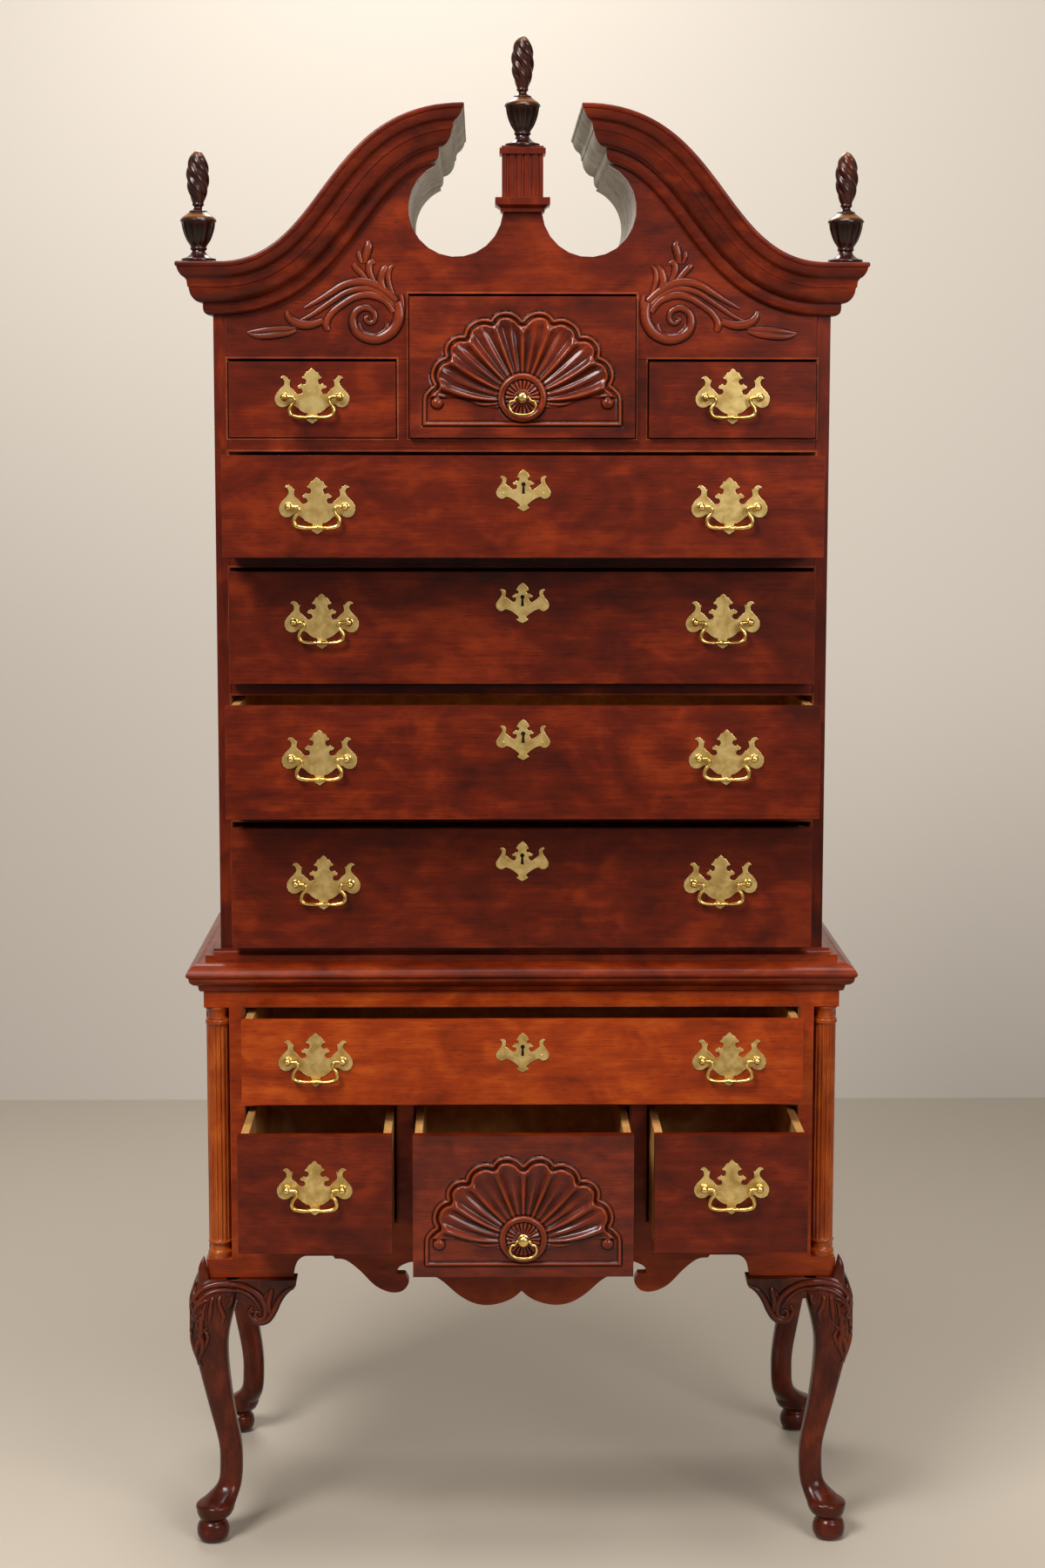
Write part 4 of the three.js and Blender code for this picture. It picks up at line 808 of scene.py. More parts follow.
    def hand_over(
        self,
        piece: bpy.types.Object,
        name: str,
        *finishes: Finish,
        replaces: str | None = None,
        body: str = "case",
        slot: str = "case_mahogany",
        choose: Chooser | None = None,
        angle: float = 35.0,
    ) -> None:
        """Sets a finished piece in the frame, in metres, with its finish and its body.

        Args:
            piece: The piece, in millimetres in the maker's frame.
            name: Its name.
            *finishes: Its finishes.
            replaces: The CAD node that it stands for.
            body: The CAD body that it rides on.
            slot: The record's material slot; not used.
            choose: Gives a face's finish from its centre and its normal, in millimetres.
            angle: Edges sharper than this, in degrees, stay sharp.
        """
        piece.name = name
        piece.data.name = name
        piece.data.materials.clear()
        for finish in finishes:
            piece.data.materials.append(finish.material())
        for face in piece.data.polygons:
            face.material_index = choose(face.center, face.normal) if choose else 0
        piece.data.transform(Matrix.Translation((0, self.face_y, 0)) @ Matrix.Scale(MM, 4))
        self.choose(piece)
        bpy.ops.object.shade_smooth_by_angle(angle=math.radians(angle))
        flat = piece.modifiers.new("flat", "WEIGHTED_NORMAL")
        flat.keep_sharp = True
        self.apply(piece, flat)
        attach(piece, body)
        if replaces:
            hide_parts(replaces)
        log.info("%s: %d faces on %s", name, len(piece.data.polygons), body)


# CARVING


@dataclass
class Carver:
    """Carves raised strands, each along a path of points with widths, with a moat of painted shade round each
    one.
    """

    bench: Bench
    surface: Callable[[Vector], tuple[Vector, Vector]]
    height_share: float
    widen: float
    moat: float = 0.9
    sunk: float = 1.2
    lip: float = 0.12
    rise: float = 0.2
    outline_shade: float = 0.1
    arch_steps: int = 8
    steps: int = 5

    def strand(self, points: Sequence[Point]) -> bpy.types.Object:
        """Carves one strand.

        Args:
            points: X, Z and width along the strand's middle.

        Returns:
            The strand, with its relief as an attribute.
        """
        line = curve_through(points, self.steps)
        arch = [math.pi * k / self.arch_steps for k in range(self.arch_steps + 1)]
        rings, relief = [], []
        for k, point in enumerate(line):
            before, after = line[max(k - 1, 0)], line[min(k + 1, len(line) - 1)]
            base, normal = self.surface(Vector((point.x, 0, point.y)))
            ahead, _ = self.surface(Vector((after.x, 0, after.y)))
            behind, _ = self.surface(Vector((before.x, 0, before.y)))
            along = (ahead - behind).normalized()
            across = along.cross(normal).normalized()
            half = self.widen * point.z / 2
            edge, dark = half + self.moat, self.outline_shade
            # The moat carries the outline shade, which the finish paints as a dark shadow line round the
            # strand
            section = [(-edge, -self.sunk, dark), (-edge, self.lip, dark)]
            for a in arch:
                height = self.rise + 2 * self.height_share * half * math.sin(a)
                section.append((-half * math.cos(a), height, self._section_light(a)))
            section += [(edge, self.lip, dark), (edge, -self.sunk, dark)]
            rings.append([base + side * across + up * normal for side, up, _ in section])
            relief += [tone for _, _, tone in section]
        piece = self.bench.loft(rings)
        self.bench.mark_relief(piece, relief)
        return piece

    @staticmethod
    def _section_light(angle: float) -> float:
        """Relief at an angle round the strand's section: low on the flanks for painted shade, high on top for
        the lighter crest.
        """
        return 0.16 + 0.6 * math.sin(angle) ** 1.5

    def strands(self, lines: Sequence[Sequence[Point]]) -> bpy.types.Object:
        """Carves several strands and joins them.

        Args:
            lines: The points of each strand.

        Returns:
            The joined strands.
        """
        return self.bench.joined(*(self.strand(points) for points in lines))


# CASES


@dataclass
class Cases:
    """The boards of both cases, the waist moulding and the corner columns."""

    bench: Bench
    upper_half: float = 465.0
    upper_depth: float = 478.0
    lower_half: float = 490.0
    lower_face: float = -25.0
    lower_top: float = 905.0
    skin: float = 2.0
    rail_depth: float = 21.0
    front_depth: float = 24.0
    corner_width: float = 45.0
    opening_half: float = 427.5
    waist_bottom: float = 881.0
    waist_height: float = 64.0
    waist_reach: float = 50.0
    column_center: Point = (470.75, -5.75)
    column_low: float = 457.3
    column_high: float = 854.7
    column_radius: float = 16.5
    flutes: int = 14
    flute_depth: float = 2.2
    flute_steps: int = 12
    flute_half: float = 3.4
    flute_end: float = 0.03

    def build(self) -> None:
        """Makes every piece of the cases."""
        self._boards()
        self._waist()
        for side in (-1, 1):
            self._column(side)

    def _boards(self) -> None:
        """Dresses copies of the carcases and the drawer frame."""
        upper = (UPPER_UPRIGHT, BACK_WOOD, DRAWER_WOOD)
        lower = (LOWER_ACROSS, BACK_WOOD, DRAWER_WOOD, LOWER_UPRIGHT)
        for node, name, finishes, choose in (
            ("upper_carcase", "upper_case", upper, self._upper_finish),
            ("upper_drawer_frame", "upper_rails", (UPPER_ACROSS, DRAWER_WOOD), front_of(self.rail_depth)),
            ("lower_carcase", "lower_case", lower, self._lower_finish),
        ):
            self.bench.hand_over(self.bench.node_copy(node), name, *finishes, replaces=node, choose=choose)

    def _upper_finish(self, center: Vector, normal: Vector) -> int:
        """Finish of a face of the upper case.

        Args:
            center: The face's centre.
            normal: Its normal; not used.

        Returns:
            0 for the polished outside, 1 for the back board and 2 for the inside.
        """
        if abs(center.x) > self.upper_half - self.skin or center.y < self.skin:
            return 0
        return 1 if center.y > self.upper_depth - self.skin else 2

    def _lower_finish(self, center: Vector, normal: Vector) -> int:
        """Finish of a face of the lower case.

        Args:
            center: The face's centre.
            normal: Its normal; not used.

        Returns:
            0 for the polished outside, 1 for the back board, 2 for the inside and 3 for the corner posts.
        """
        if center.y > self.upper_depth - self.skin:
            return 1
        x, front = abs(center.x), center.y < self.lower_face + self.front_depth
        behind = x < self.opening_half + 0.5 and center.y > self.lower_face + self.rail_depth
        if (x > self.lower_half - self.corner_width or front) and not behind:
            return 3 if x > self.opening_half - 0.5 and front else 0
        return 2

    def _waist(self) -> None:
        """Runs the waist moulding along three sides, mitred at both front corners."""
        shares = profile_of(
            [(0.006, 1), (0.2, 1)],
            [(0.2, 1), (0.215, 0.93), (0.27, 0.885), (0.36, 0.87), (0.44, 0.865)],
            [(0.44, 0.865), (0.44, 0.73)],
            [(0.44, 0.73), (0.6, 0.71), (0.78, 0.655), (0.93, 0.56), (1, 0.46)],
            [(1, 0.46), (0.985, 0.4), (0.92, 0.36)],
            [(0.92, 0.36), (0.9, 0.27), (0.8, 0.19), (0.7, 0.16)],
            [(0.7, 0.16), (0.66, 0.14), (0.645, 0.09), (0.62, 0.03), (0.57, 0)],
            [(0.57, 0), (0.506, 0)],
        )
        profile = [(s.x * self.waist_reach, self.waist_bottom + s.y * self.waist_height) for s in shares]
        inset = self.lower_half - self.upper_half + FIT
        profile += [(inset, self.lower_top + FIT), (FIT, self.lower_top + FIT)]
        half, back = self.upper_half, self.upper_depth
        front = [[(side * (half + r), -r, z) for r, z in profile] for side in (-1, 1)]
        rear = [[(x, back, z) for x, _, z in ring] for ring in front]
        run = self.bench.loft([rear[0], *front, rear[1]])
        self.bench.hand_over(run, "waist_run", WAIST_ACROSS, replaces="waist_moulding", angle=28)

    def _column(self, side: int) -> None:
        """Turns and flutes one corner column.

        Args:
            side: -1 for the left one, 1 for the right one.
        """
        low, high = self.column_low, self.column_high
        base = profile_of(
            [(18.4, 0), (18.6, 4)],
            [(18.6, 4), (18.9, 6), (18.4, 9), (16.6, 11)],
            [(16.6, 11), (15.2, 14), (14.6, 18), (15.6, 22)],
            [(15.6, 22), (17.8, 22.6), (18.3, 24.5), (17.8, 26.4), (16.8, 27)],
            steps=4,
        )
        cap = profile_of(
            [(18.6, 0), (18.6, 3)],
            [(18.6, 3), (17, 5), (15, 9), (14.2, 14), (14.4, 17)],
            [(14.4, 17), (15.6, 17.4), (15.9, 18.6), (15.4, 19.6)],
            [(15.4, 19.6), (17.6, 20.2), (18.5, 23.4), (18.4, 26.4), (17, 28.4), (16.4, 28.8)],
            steps=4,
        )
        shaft_low, shaft_high = low + base[-1].y, high - cap[-1].y
        stations = [(p.x, low + p.y, 0.0) for p in base]
        for share in (0.0, 0.004, 0.008, 0.014, 0.022, 0.03, 0.5, 0.97, 0.978, 0.986, 0.992, 0.996, 1.0):
            stop = min(min(share, 1 - share) / self.flute_end, 1.0)
            depth = self.flute_depth * math.sqrt(1 - (1 - stop) ** 2)
            stations.append((self.column_radius, shaft_low + share * (shaft_high - shaft_low), depth))
        stations += [(p.x, high - p.y, 0.0) for p in reversed(cap)]
        x, y = side * self.column_center[0], self.column_center[1]
        rings = []
        for radius, z, depth in stations:
            ring = []
            for k, a in enumerate(angles(self.flute_steps * self.flutes)):
                share = (k % self.flute_steps - self.flute_steps / 2) / self.flute_half
                r = radius - depth * math.sqrt(max(0.0, 1 - share**2))
                ring.append((x + r * math.cos(a), y + r * math.sin(a), z))
            rings.append(ring)
        name = "left" if side < 0 else "right"
        column, node = self.bench.loft(rings), f"column_{name}"
        self.bench.hand_over(column, f"column_turned_{name}", COLUMN_WOOD, replaces=node, angle=50)


# PEDIMENT


@dataclass
class Pediment:
    """The broken swan-neck cornice, its board with the carving, and its plinth."""

    bench: Bench
    half: float = 465.0
    depth: float = 478.0
    top: float = 1986.5
    neck_top: float = 2218.0
    start_x: float = -452.0
    nose_x: float = -87.0
    low_handle: float = 160.0
    high_handle: float = 215.0
    height: float = 78.0
    reach: float = 51.5
    neck_face: float = 138.5
    overlap: float = 4.0
    climb_steps: int = 48
    neck_steps: int = 4
    board_depth: float = 19.5
    inner_half: float = 444.2
    case_top: float = 1965.3
    roof_rebate: float = 1.5
    roof_board: float = 10.0
    hood_back: float = 8.0
    scroll_radius: float = 71.0
    scroll_center: Point = (-100.0, 2067.0)
    scroll_steps: int = 32
    carving_center: Point = (-232.0, 1903.9)
    carving: Sequence[Sequence[Point]] = (
        (
            (44, 24.5, 11.5), (47, 10, 13.5), (44, -6.5, 14.5), (33, -21, 15), (14.5, -30, 14),
            (-5.5, -27.5, 13), (-19.5, -16.5, 12), (-23, -1, 11), (-16.5, 12, 9.5), (-3.5, 16.5, 8.5),
            (8.5, 10, 7.5), (10, -2, 7), (2, -6.5, 6), (-4.5, -1, 5.5), (0, 3.5, 4),
        ),
        (
            (-14, -6.5, 4), (-9.5, -17.5, 5.5), (3.5, -24.5, 6), (18, -22.5, 6), (27, -15.5, 6.5),
            (28, -7, 5),
        ),
        (
            (42.5, 26.5, 9.5), (26, 41, 10), (7.5, 51.5, 10.5), (-14.5, 55, 10.5), (-36.5, 50, 10),
            (-55, 39, 9), (-73, 28, 7), (-95.5, 16, 3.5),
        ),
        (
            (39.5, 18, 6), (24, 33.5, 7), (6, 43.5, 7.5), (-12.5, 44.5, 7.5), (-33, 39, 7.5),
            (-51, 28, 7.5), (-69.5, 15.5, 7), (-86.5, 4.5, 5.5), (-103, -3, 3),
        ),
        (
            (37.5, 10, 7), (27.5, 24.5, 8), (13, 32.5, 9), (-3.5, 35.5, 9.5), (-22, 31, 9.5),
            (-38.5, 21, 9), (-51.5, 11.5, 9), (-59.5, 1.5, 9), (-63.5, -8.5, 10), (-60.5, -17.5, 7.5),
        ),
        (
            (-68, -3, 8.5), (-84.5, -8.5, 11), (-99, -9, 12), (-112, -4.5, 11), (-120, 3.5, 9),
            (-122, 11.5, 5),
        ),
        (
            (-104, -12.5, 4), (-117, -15, 6), (-132.5, -15.5, 8.5), (-152.5, -17, 8.5), (-169, -19, 6),
            (-181.5, -20.5, 2.5),
        ),
        (
            (-108, -18, 4), (-120, -22, 6.5), (-136, -24, 9), (-156.5, -26, 8.5), (-172, -25, 5.5),
            (-180.5, -21.5, 2.5),
        ),
        ((-1.5, 57, 6.5), (-10.5, 68, 8), (-18, 76, 8.5), (-22, 81, 6)),
        ((-4, 82.5, 6.5), (-1.5, 97, 11), (1.5, 108.5, 10.5), (-1, 114.5, 6)),
        ((-9.5, 82.5, 4.5), (-13, 93, 6.5), (-13, 100.5, 4)),
        ((8.5, 55.5, 7), (3, 67, 9), (2, 78, 9), (5.5, 84, 7.5), (11, 82.5, 5.5)),
        ((34, 30, 5), (24, 42.5, 9), (19.5, 57, 10.5), (23.5, 71.5, 9.5), (28.5, 78, 6)),
        ((39.5, 32, 4.5), (33.5, 46.5, 6.5), (30.5, 60.5, 7), (33, 73.5, 6), (37.5, 79, 4)),
        ((49, 35.5, 6), (51.5, 24.5, 6.5), (51.5, 10, 6), (48.5, -4.5, 4)),
    )

    def build(self) -> None:
        """Makes every piece of the pediment."""
        finishes = (UPPER_ACROSS, BACK_WOOD, RAW_WOOD)
        for piece, side in self._pair(self.bench.joined(self._moulding(), self._roof(), self._back())):
            name, node = f"swan_neck_{side}", f"cornice_{side}"
            self.bench.hand_over(piece, name, *finishes, replaces=node, choose=self._neck_finish, angle=28)
        board, wood = self.bench.node_copy("pediment_board", 0.6), (UPPER_ACROSS, RAW_WOOD)
        front = front_of(self.board_depth)
        self.bench.hand_over(board, "tympanum", *wood, replaces="pediment_board", choose=front)
        for piece, side in self._pair(Carver(self.bench, self._on_board, 0.27, 1.25).strands(self.carving)):
            self.bench.hand_over(piece, f"scroll_carving_{side}", SHELL_WOOD, angle=60)
        plinth = self.bench.node_copy("pediment_plinth", 0.5)
        self.bench.hand_over(plinth, "plinth", UPPER_UPRIGHT, replaces="pediment_plinth")

    def _pair(self, left: bpy.types.Object) -> list[tuple[bpy.types.Object, str]]:
        """Adds the right one of a pair.

        Args:
            left: The left piece.

        Returns:
            Both pieces, each with the name of its side.
        """
        return [(left, "left"), (self.bench.copied(left, flip=(-1, 1, 1)), "right")]

    def _neck_finish(self, center: Vector, normal: Vector) -> int:
        """Finish of a face of the moulding, its roof and its back.

        Args:
            center: The face's centre.
            normal: Its normal.

        Returns:
            0 for polished wood, 1 for the back board and 2 for raw wood.
        """
        if center.y > self.depth - 1 and normal.y > 0.5:
            return 1
        return 2 if center.y > 0 and abs(center.x) < self.neck_face + 0.5 and normal.z < 0.7 else 0

    def _on_board(self, point: Vector) -> tuple[Vector, Vector]:
        """Place and normal of the board's face under a point of the left carving."""
        x, z = self.carving_center
        return Vector((x + point.x, 0, z + point.z)), Vector((0, -1, 0))

    def _curve_point(self, t: float, drop: float) -> Vector:
        """A point of the climbing line at an even drop below the cornice's top.

        Args:
            t: Place along the curve, 0 to 1.
            drop: Distance below the top edge.

        Returns:
            X and Z of the point.
        """
        a, b, c, d = (
            Vector((self.start_x, self.top)),
            Vector((self.start_x + self.low_handle, self.top)),
            Vector((self.nose_x - self.high_handle, self.neck_top)),
            Vector((self.nose_x, self.neck_top)),
        )
        point = a * (1 - t) ** 3 + 3 * b * t * (1 - t) ** 2 + 3 * c * t**2 * (1 - t) + d * t**3
        along = (3 * (b - a) * (1 - t) ** 2 + 6 * (c - b) * t * (1 - t) + 3 * (d - c) * t**2).normalized()
        return point + drop * Vector((along.y, -along.x))

    def _line_height(self, x: float, drop: float) -> float:
        """Height of the climbing line over a place on the left side.

        Args:
            x: The place.
            drop: Distance below the top edge.

        Returns:
            The height.
        """
        halvings = 40
        low, high = 0.0, 1.0
        for _ in range(halvings):
            middle = (low + high) / 2
            if self._curve_point(middle, drop).x < x:
                low = middle
            else:
                high = middle
        return self._curve_point(low, drop).y

    def _places(self) -> list[float]:
        """Even places from the foot of the climb to just short of the neck."""
        way = -self.neck_face - self.overlap - self.start_x
        return [self.start_x + k / self.climb_steps * way for k in range(self.climb_steps + 1)]

    def _moulding(self) -> bpy.types.Object:
        """Runs the moulding: side return, level end, climb and neck return.

        Returns:
            The left moulding.
        """
        shares = profile_of(
            [(0, 0), (0.94, 0)],
            [(0.94, 0), (0.985, 0.012), (1, 0.05), (0.985, 0.09)],
            [(0.985, 0.09), (0.95, 0.1), (0.945, 0.13)],
            [
                (0.945, 0.13), (0.9, 0.2), (0.83, 0.265), (0.74, 0.31), (0.69, 0.36), (0.675, 0.43),
                (0.67, 0.47),
            ],
            [(0.67, 0.47), (0.64, 0.475), (0.635, 0.5)],
            [(0.635, 0.5), (0.6, 0.6), (0.52, 0.69), (0.42, 0.745), (0.34, 0.765)],
            [(0.34, 0.765), (0.27, 0.77), (0.265, 0.8)],
            [(0.265, 0.8), (0.26, 0.88), (0.23, 0.945), (0.16, 0.985), (0.1, 1)],
            [(0.1, 1), (0, 1)],
            steps=4,
        )
        profile = [(FIT + s.x * (self.reach - FIT), s.y * self.height) for s in shares]
        side = [(-self.half - r, -r, self.top - drop) for r, drop in profile]
        rings = [side]
        for x in self._places():
            rings.append([(x, -r, self._line_height(x, drop)) for r, drop in profile])
        for k in range(1, self.neck_steps + 1):
            lean = k / self.neck_steps
            start = -self.neck_face - self.overlap * (1 - lean)
            neck = [(start + r * lean, -r, self._line_height(start + r * lean, drop)) for r, drop in profile]
            rings.append(neck)
        rear = [[(x, self.depth, z) for x, _, z in ring] for ring in (side, neck)]
        return self.bench.loft([rear[0], *rings, rear[1]])

    def _roof(self) -> bpy.types.Object:
        """Bends the roof board over the space behind the climb.

        Returns:
            The left roof board.
        """
        outer, inner = -self.half - self.overlap, -self.neck_face + self.overlap
        upper, lower = (
            [(outer, self.top - drop), *((x, self._line_height(x, drop)) for x in [*self._places(), inner])]
            for drop in (self.roof_rebate, self.roof_rebate + self.roof_board)
        )
        return self.bench.prism([*upper, *reversed(lower)], -self.overlap, self.depth)

    def _back(self) -> bpy.types.Object:
        """Cuts the board that closes the space at the back.

        Returns:
            The left back board.
        """
        outer, inner = -self.inner_half, -self.neck_face + self.overlap
        cx, cz = self.scroll_center
        under = self._line_height(-self.neck_face, self.height) - FIT
        lowest = 1.5 * math.pi
        start = math.pi - math.asin((under - cz) / self.scroll_radius)
        arc = []
        for k in range(self.scroll_steps + 1):
            a = lowest + (start - lowest) * k / self.scroll_steps
            arc.append((cx + self.scroll_radius * math.cos(a), cz + self.scroll_radius * math.sin(a)))
        drop = self.roof_rebate + self.roof_board - 1
        roof = [(x, self._line_height(x, drop)) for x in [outer, *(p for p in self._places() if p > outer)]]
        outline = [
            (-FIT / 2, self.case_top),
            (-FIT / 2, cz - self.scroll_radius),
            *arc,
            (inner, under + self.overlap),
            (inner, self._line_height(inner, drop)),
            *reversed(roof),
            (outer, self.case_top),
        ]
        return self.bench.prism(outline, self.depth - self.hood_back, self.depth)


@dataclass
class Finials:
    """Three turned urns with gouged sides, each under a flame of twisted ropes."""

    bench: Bench
    side_place: Point = (483.0, -22.0, 1986.8)
    center_y: float = 10.0
    sides: int = 112
    urn_foot: float = 22.5
    urn_height: float = 36.0
    urn_radius: float = 26.0
    gouges: int = 16
    gouge_depth: float = 2.1
    flame_foot: float = 87.0
    flame_height: float = 74.0
    flame_radius: float = 17.3
    ropes: int = 5
    rope_depth: float = 4.2
    rope_turns: float = 0.7
    rope_length: float = 76.0
    # Heights of the painted highlight on the flame's tip and on the urn's shoulder
    tip_highlight_from: float = 150.0
    shoulder_highlight: float = 66.5

    def build(self) -> None:
        """Carves one finial and sets a copy on each seat."""
        model = self._model()
        x, y, z = self.side_place
        seats = {
            "center": (0.0, self.center_y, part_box("finial_center")[0].z / MM),
            "left": (-x, y, z),
            "right": (x, y, z),
        }
        for name, place in seats.items():
            node = f"finial_{name}"
            piece, carved = self.bench.copied(model, place), f"finial_carved_{name}"
            self.bench.hand_over(piece, carved, FINIAL_WOOD, replaces=node, slot="carved_mahogany", angle=50)
        bpy.data.objects.remove(model)

    def _model(self) -> bpy.types.Object:
        """Turns a finial at the origin, gouges its urn and twists its flame.

        Returns:
            The finial, with its relief as an attribute.
        """
        outline = profile_of(
            [(25.2, 0), (25.9, 0.6), (25.9, 3.6), (25, 4.4)],
            [(25, 4.4), (21, 5.2), (14.5, 9), (11, 13), (10, 16)],
            [(10, 16), (11.9, 17.4), (12.4, 19.6), (11.6, 21.6)],
            [(11.6, 21.6), (13.5, 24.5), (18, 31), (22, 40), (24.6, 49), (25.8, 58)],
            [(25.8, 58), (26.9, 58.6), (26.9, 61)],
            [(26.9, 61), (24, 64.6), (18, 69), (13.2, 72.4)],
            [(13.2, 72.4), (13.2, 74), (10, 75.4), (6.6, 78), (6.2, 80.4)],
            [(6.2, 80.4), (8.3, 82), (8.7, 84), (8.2, 86)],
            [
                (8.2, 86), (10.5, 91), (14.2, 101), (16.6, 113), (17.3, 126), (16.2, 139), (12.6, 151),
                (7, 159), (1.2, 162.4),
            ],
        )
        rings, relief = [], []
        for radius, z in outline:
            urn = self._swell(z, self.urn_foot, self.urn_height) ** 0.4
            flame = self._swell(z, self.flame_foot, self.flame_height) ** 0.5
            depth = self.rope_depth * flame * (0.45 + 0.55 * radius / self.flame_radius)
            # Painted highlight on the flame's tip and on the urn's shoulder
            highlit = max(0.0, (z - self.tip_highlight_from) / 12, 1 - abs(z - self.shoulder_highlight) / 6.5)
            ring = []
            for a in angles(self.sides):
                gouge = abs(math.cos(self.gouges / 2 * a)) ** 0.7 * urn
                twist = a + (z - self.flame_foot) / self.rope_length * 2 * math.pi * self.rope_turns
                rope = abs(math.sin(self.ropes / 2 * twist)) ** 0.8
                r = radius - gouge * self.gouge_depth * radius / self.urn_radius - (1 - rope) * depth
                # Painted shade in the urn's gouges and between the flame's ropes
                hollow = 0.36 * gouge * radius / self.urn_radius + 0.2 * (0.6 - rope) * flame
                relief.append(0.5 - hollow + 0.34 * highlit)
                ring.append((r * math.cos(a), r * math.sin(a), z))
            rings.append(ring)
        model = self.bench.loft(rings)
        self.bench.mark_relief(model, relief)
        return model

    @staticmethod
    def _swell(z: float, foot: float, height: float) -> float:
        """How full a form is at a height: 0 at its foot and its top, 1 halfway."""
        return math.sin(math.pi * min(max((z - foot) / height, 0), 1))


# LEGS


@dataclass
class Legs:
    """Four cabriole legs on ball feet with their knee brackets."""

    bench: Bench
    corner: Point = (490.0, -25.0)
    depth: float = 478.0
    height: float = 426.7
    knee: float = 30.0
    sides: int = 48
    bracket_length: float = 140.0
    bracket_drop: float = 71.0
    bracket_proud: float = 12.0
    bracket_inner: float = 24.0
    bracket_bevel: float = 1.6
    ear_sides: int = 20
    ear_power: float = 3.0
    plain: float = 0.5
    rings: Sequence[Point] = (
        (0, 0.13, 0.5, 2), (0.008, 0.13, 0.68, 2), (0.022, 0.13, 0.81, 2), (0.044, 0.13, 0.85, 2),
        (0.066, 0.13, 0.78, 2), (0.079, 0.13, 0.66, 2), (0.086, 0.14, 0.7, 2), (0.1, 0.2, 0.88, 2),
        (0.12, 0.24, 0.99, 2), (0.138, 0.28, 1.01, 2), (0.157, 0.56, 0.84, 2.1), (0.2, 0.95, 0.63, 2.6),
        (0.27, 1.05, 0.6, 3.1), (0.36, 1, 0.6, 3.5), (0.5, 0.64, 0.65, 3.7), (0.65, 0.31, 0.77, 3.7),
        (0.76, 0.15, 0.9, 3.6), (0.84, 0.22, 1.02, 3.6), (0.93, 0.36, 1.21, 3.6), (1, 0.62, 1.05, 5),
    )
    ear: Sequence[Point] = (
        (412, -3, 9), (426, -4, 9.4), (436, -5.2, 8.4), (445, -6.2, 6.6), (454, -5.6, 4.2),
        (463, -4, 0.7),
    )
    carving: Sequence[Sequence[Point]] = (
        (
            (-28, 373.5, 4.5), (-22, 393.5, 6.5), (-9.5, 411, 7.5), (9, 419.5, 8.5), (31.5, 421, 9),
            (56, 417, 9), (75, 407, 9.5), (86.5, 395, 9.5), (91, 381, 9), (89.5, 368.5, 8),
            (82, 363, 7.5), (75, 367.5, 6), (76, 374.5, 5), (82.5, 375.5, 4),
        ),
        (
            (-22, 370, 4), (-14.5, 391.5, 5.5), (-1, 405, 5.5), (16.5, 411.5, 6), (35.5, 412, 6),
            (56, 408, 6), (70, 398.5, 5.5), (80, 386, 4), (82, 380, 2.5),
        ),
        (
            (71, 385, 5.5), (66.5, 373.5, 7), (72, 363, 8), (82, 358.5, 8), (94, 363, 9),
            (103.5, 377, 9), (111.5, 394, 8.5), (122, 407.5, 7), (135, 415, 4),
        ),
        ((97.5, 373.5, 5.5), (96, 389, 8.5), (99, 404.5, 9), (101.5, 412.5, 5)),
        ((89, 389, 3), (91, 399, 5), (95, 407.5, 3.5)),
        ((-18.5, 373.5, 2.5), (-14.5, 387.5, 5), (-4.5, 396, 5), (2, 398, 4)),
        ((4.5, 364, 4.5), (6.5, 381.5, 7), (8.5, 397, 5.5), (11, 403, 3)),
        ((23.5, 360, 4), (26.5, 373.5, 7.5), (21.5, 387.5, 7), (20, 399, 5.5), (23, 404, 3)),
        ((31, 385.5, 2.5), (38, 395, 5), (39.5, 403, 3)),
        ((-11.5, 368, 4), (-15.5, 358, 5), (-8, 348, 5.5), (2.5, 355, 3.5)),
        ((-5, 366, 4), (-4, 381.5, 5.5), (-0.5, 393, 3.5)),
        ((-26, 366, 5.5), (-24.5, 346.5, 9), (-21, 326.5, 9), (-15.5, 307, 7), (-14.5, 290, 2.5)),
        ((-13, 346, 7.5), (-7.5, 334.5, 9), (-6.5, 320.5, 8), (-10.5, 307, 5.5), (-13.5, 293, 2.5)),
        ((-2.5, 348, 4.5), (2, 338.5, 6.5), (-2, 324.5, 5), (-6, 314.5, 2.5)),
    )

    def build(self) -> None:
        """Makes one leg and sets a copy at each corner."""
        model = self._leg()
        for side, hand in ((-1, "left"), (1, "right")):
            for turn, end, y in ((1, "front", self.corner[1]), (-1, "back", self.depth)):
                node = f"leg_{end}_{hand}"
                piece = self.bench.copied(model, (side * self.corner[0], y, 0), (-side, turn, 1))
                self.bench.hand_over(
                    piece, f"cabriole_{node}", CARVED_WOOD, replaces=node, slot="carved_mahogany", angle=45
                )
        bpy.data.objects.remove(model)

    def _leg(self) -> bpy.types.Object:
        """Shapes a leg whose corner of the case is at the origin, its inside towards +X and +Y.

        Returns:
            The leg.
        """
        shaft = self.bench.loft([
            squared_ring(center * self.knee, half * self.knee, power, self.sides, share * self.height)
            for share, center, half, power in curve_through(self.rings, 4)
        ])
        bracket = self._bracket()
        leg = self.bench.joined(shaft, bracket, self._turned_round(bracket))
        self.bench.mark_relief(leg, [self.plain] * len(leg.data.vertices))
        wood = BVHTree.FromPolygons(
            [v.co.copy() for v in leg.data.vertices], [tuple(f.vertices) for f in leg.data.polygons]
        )

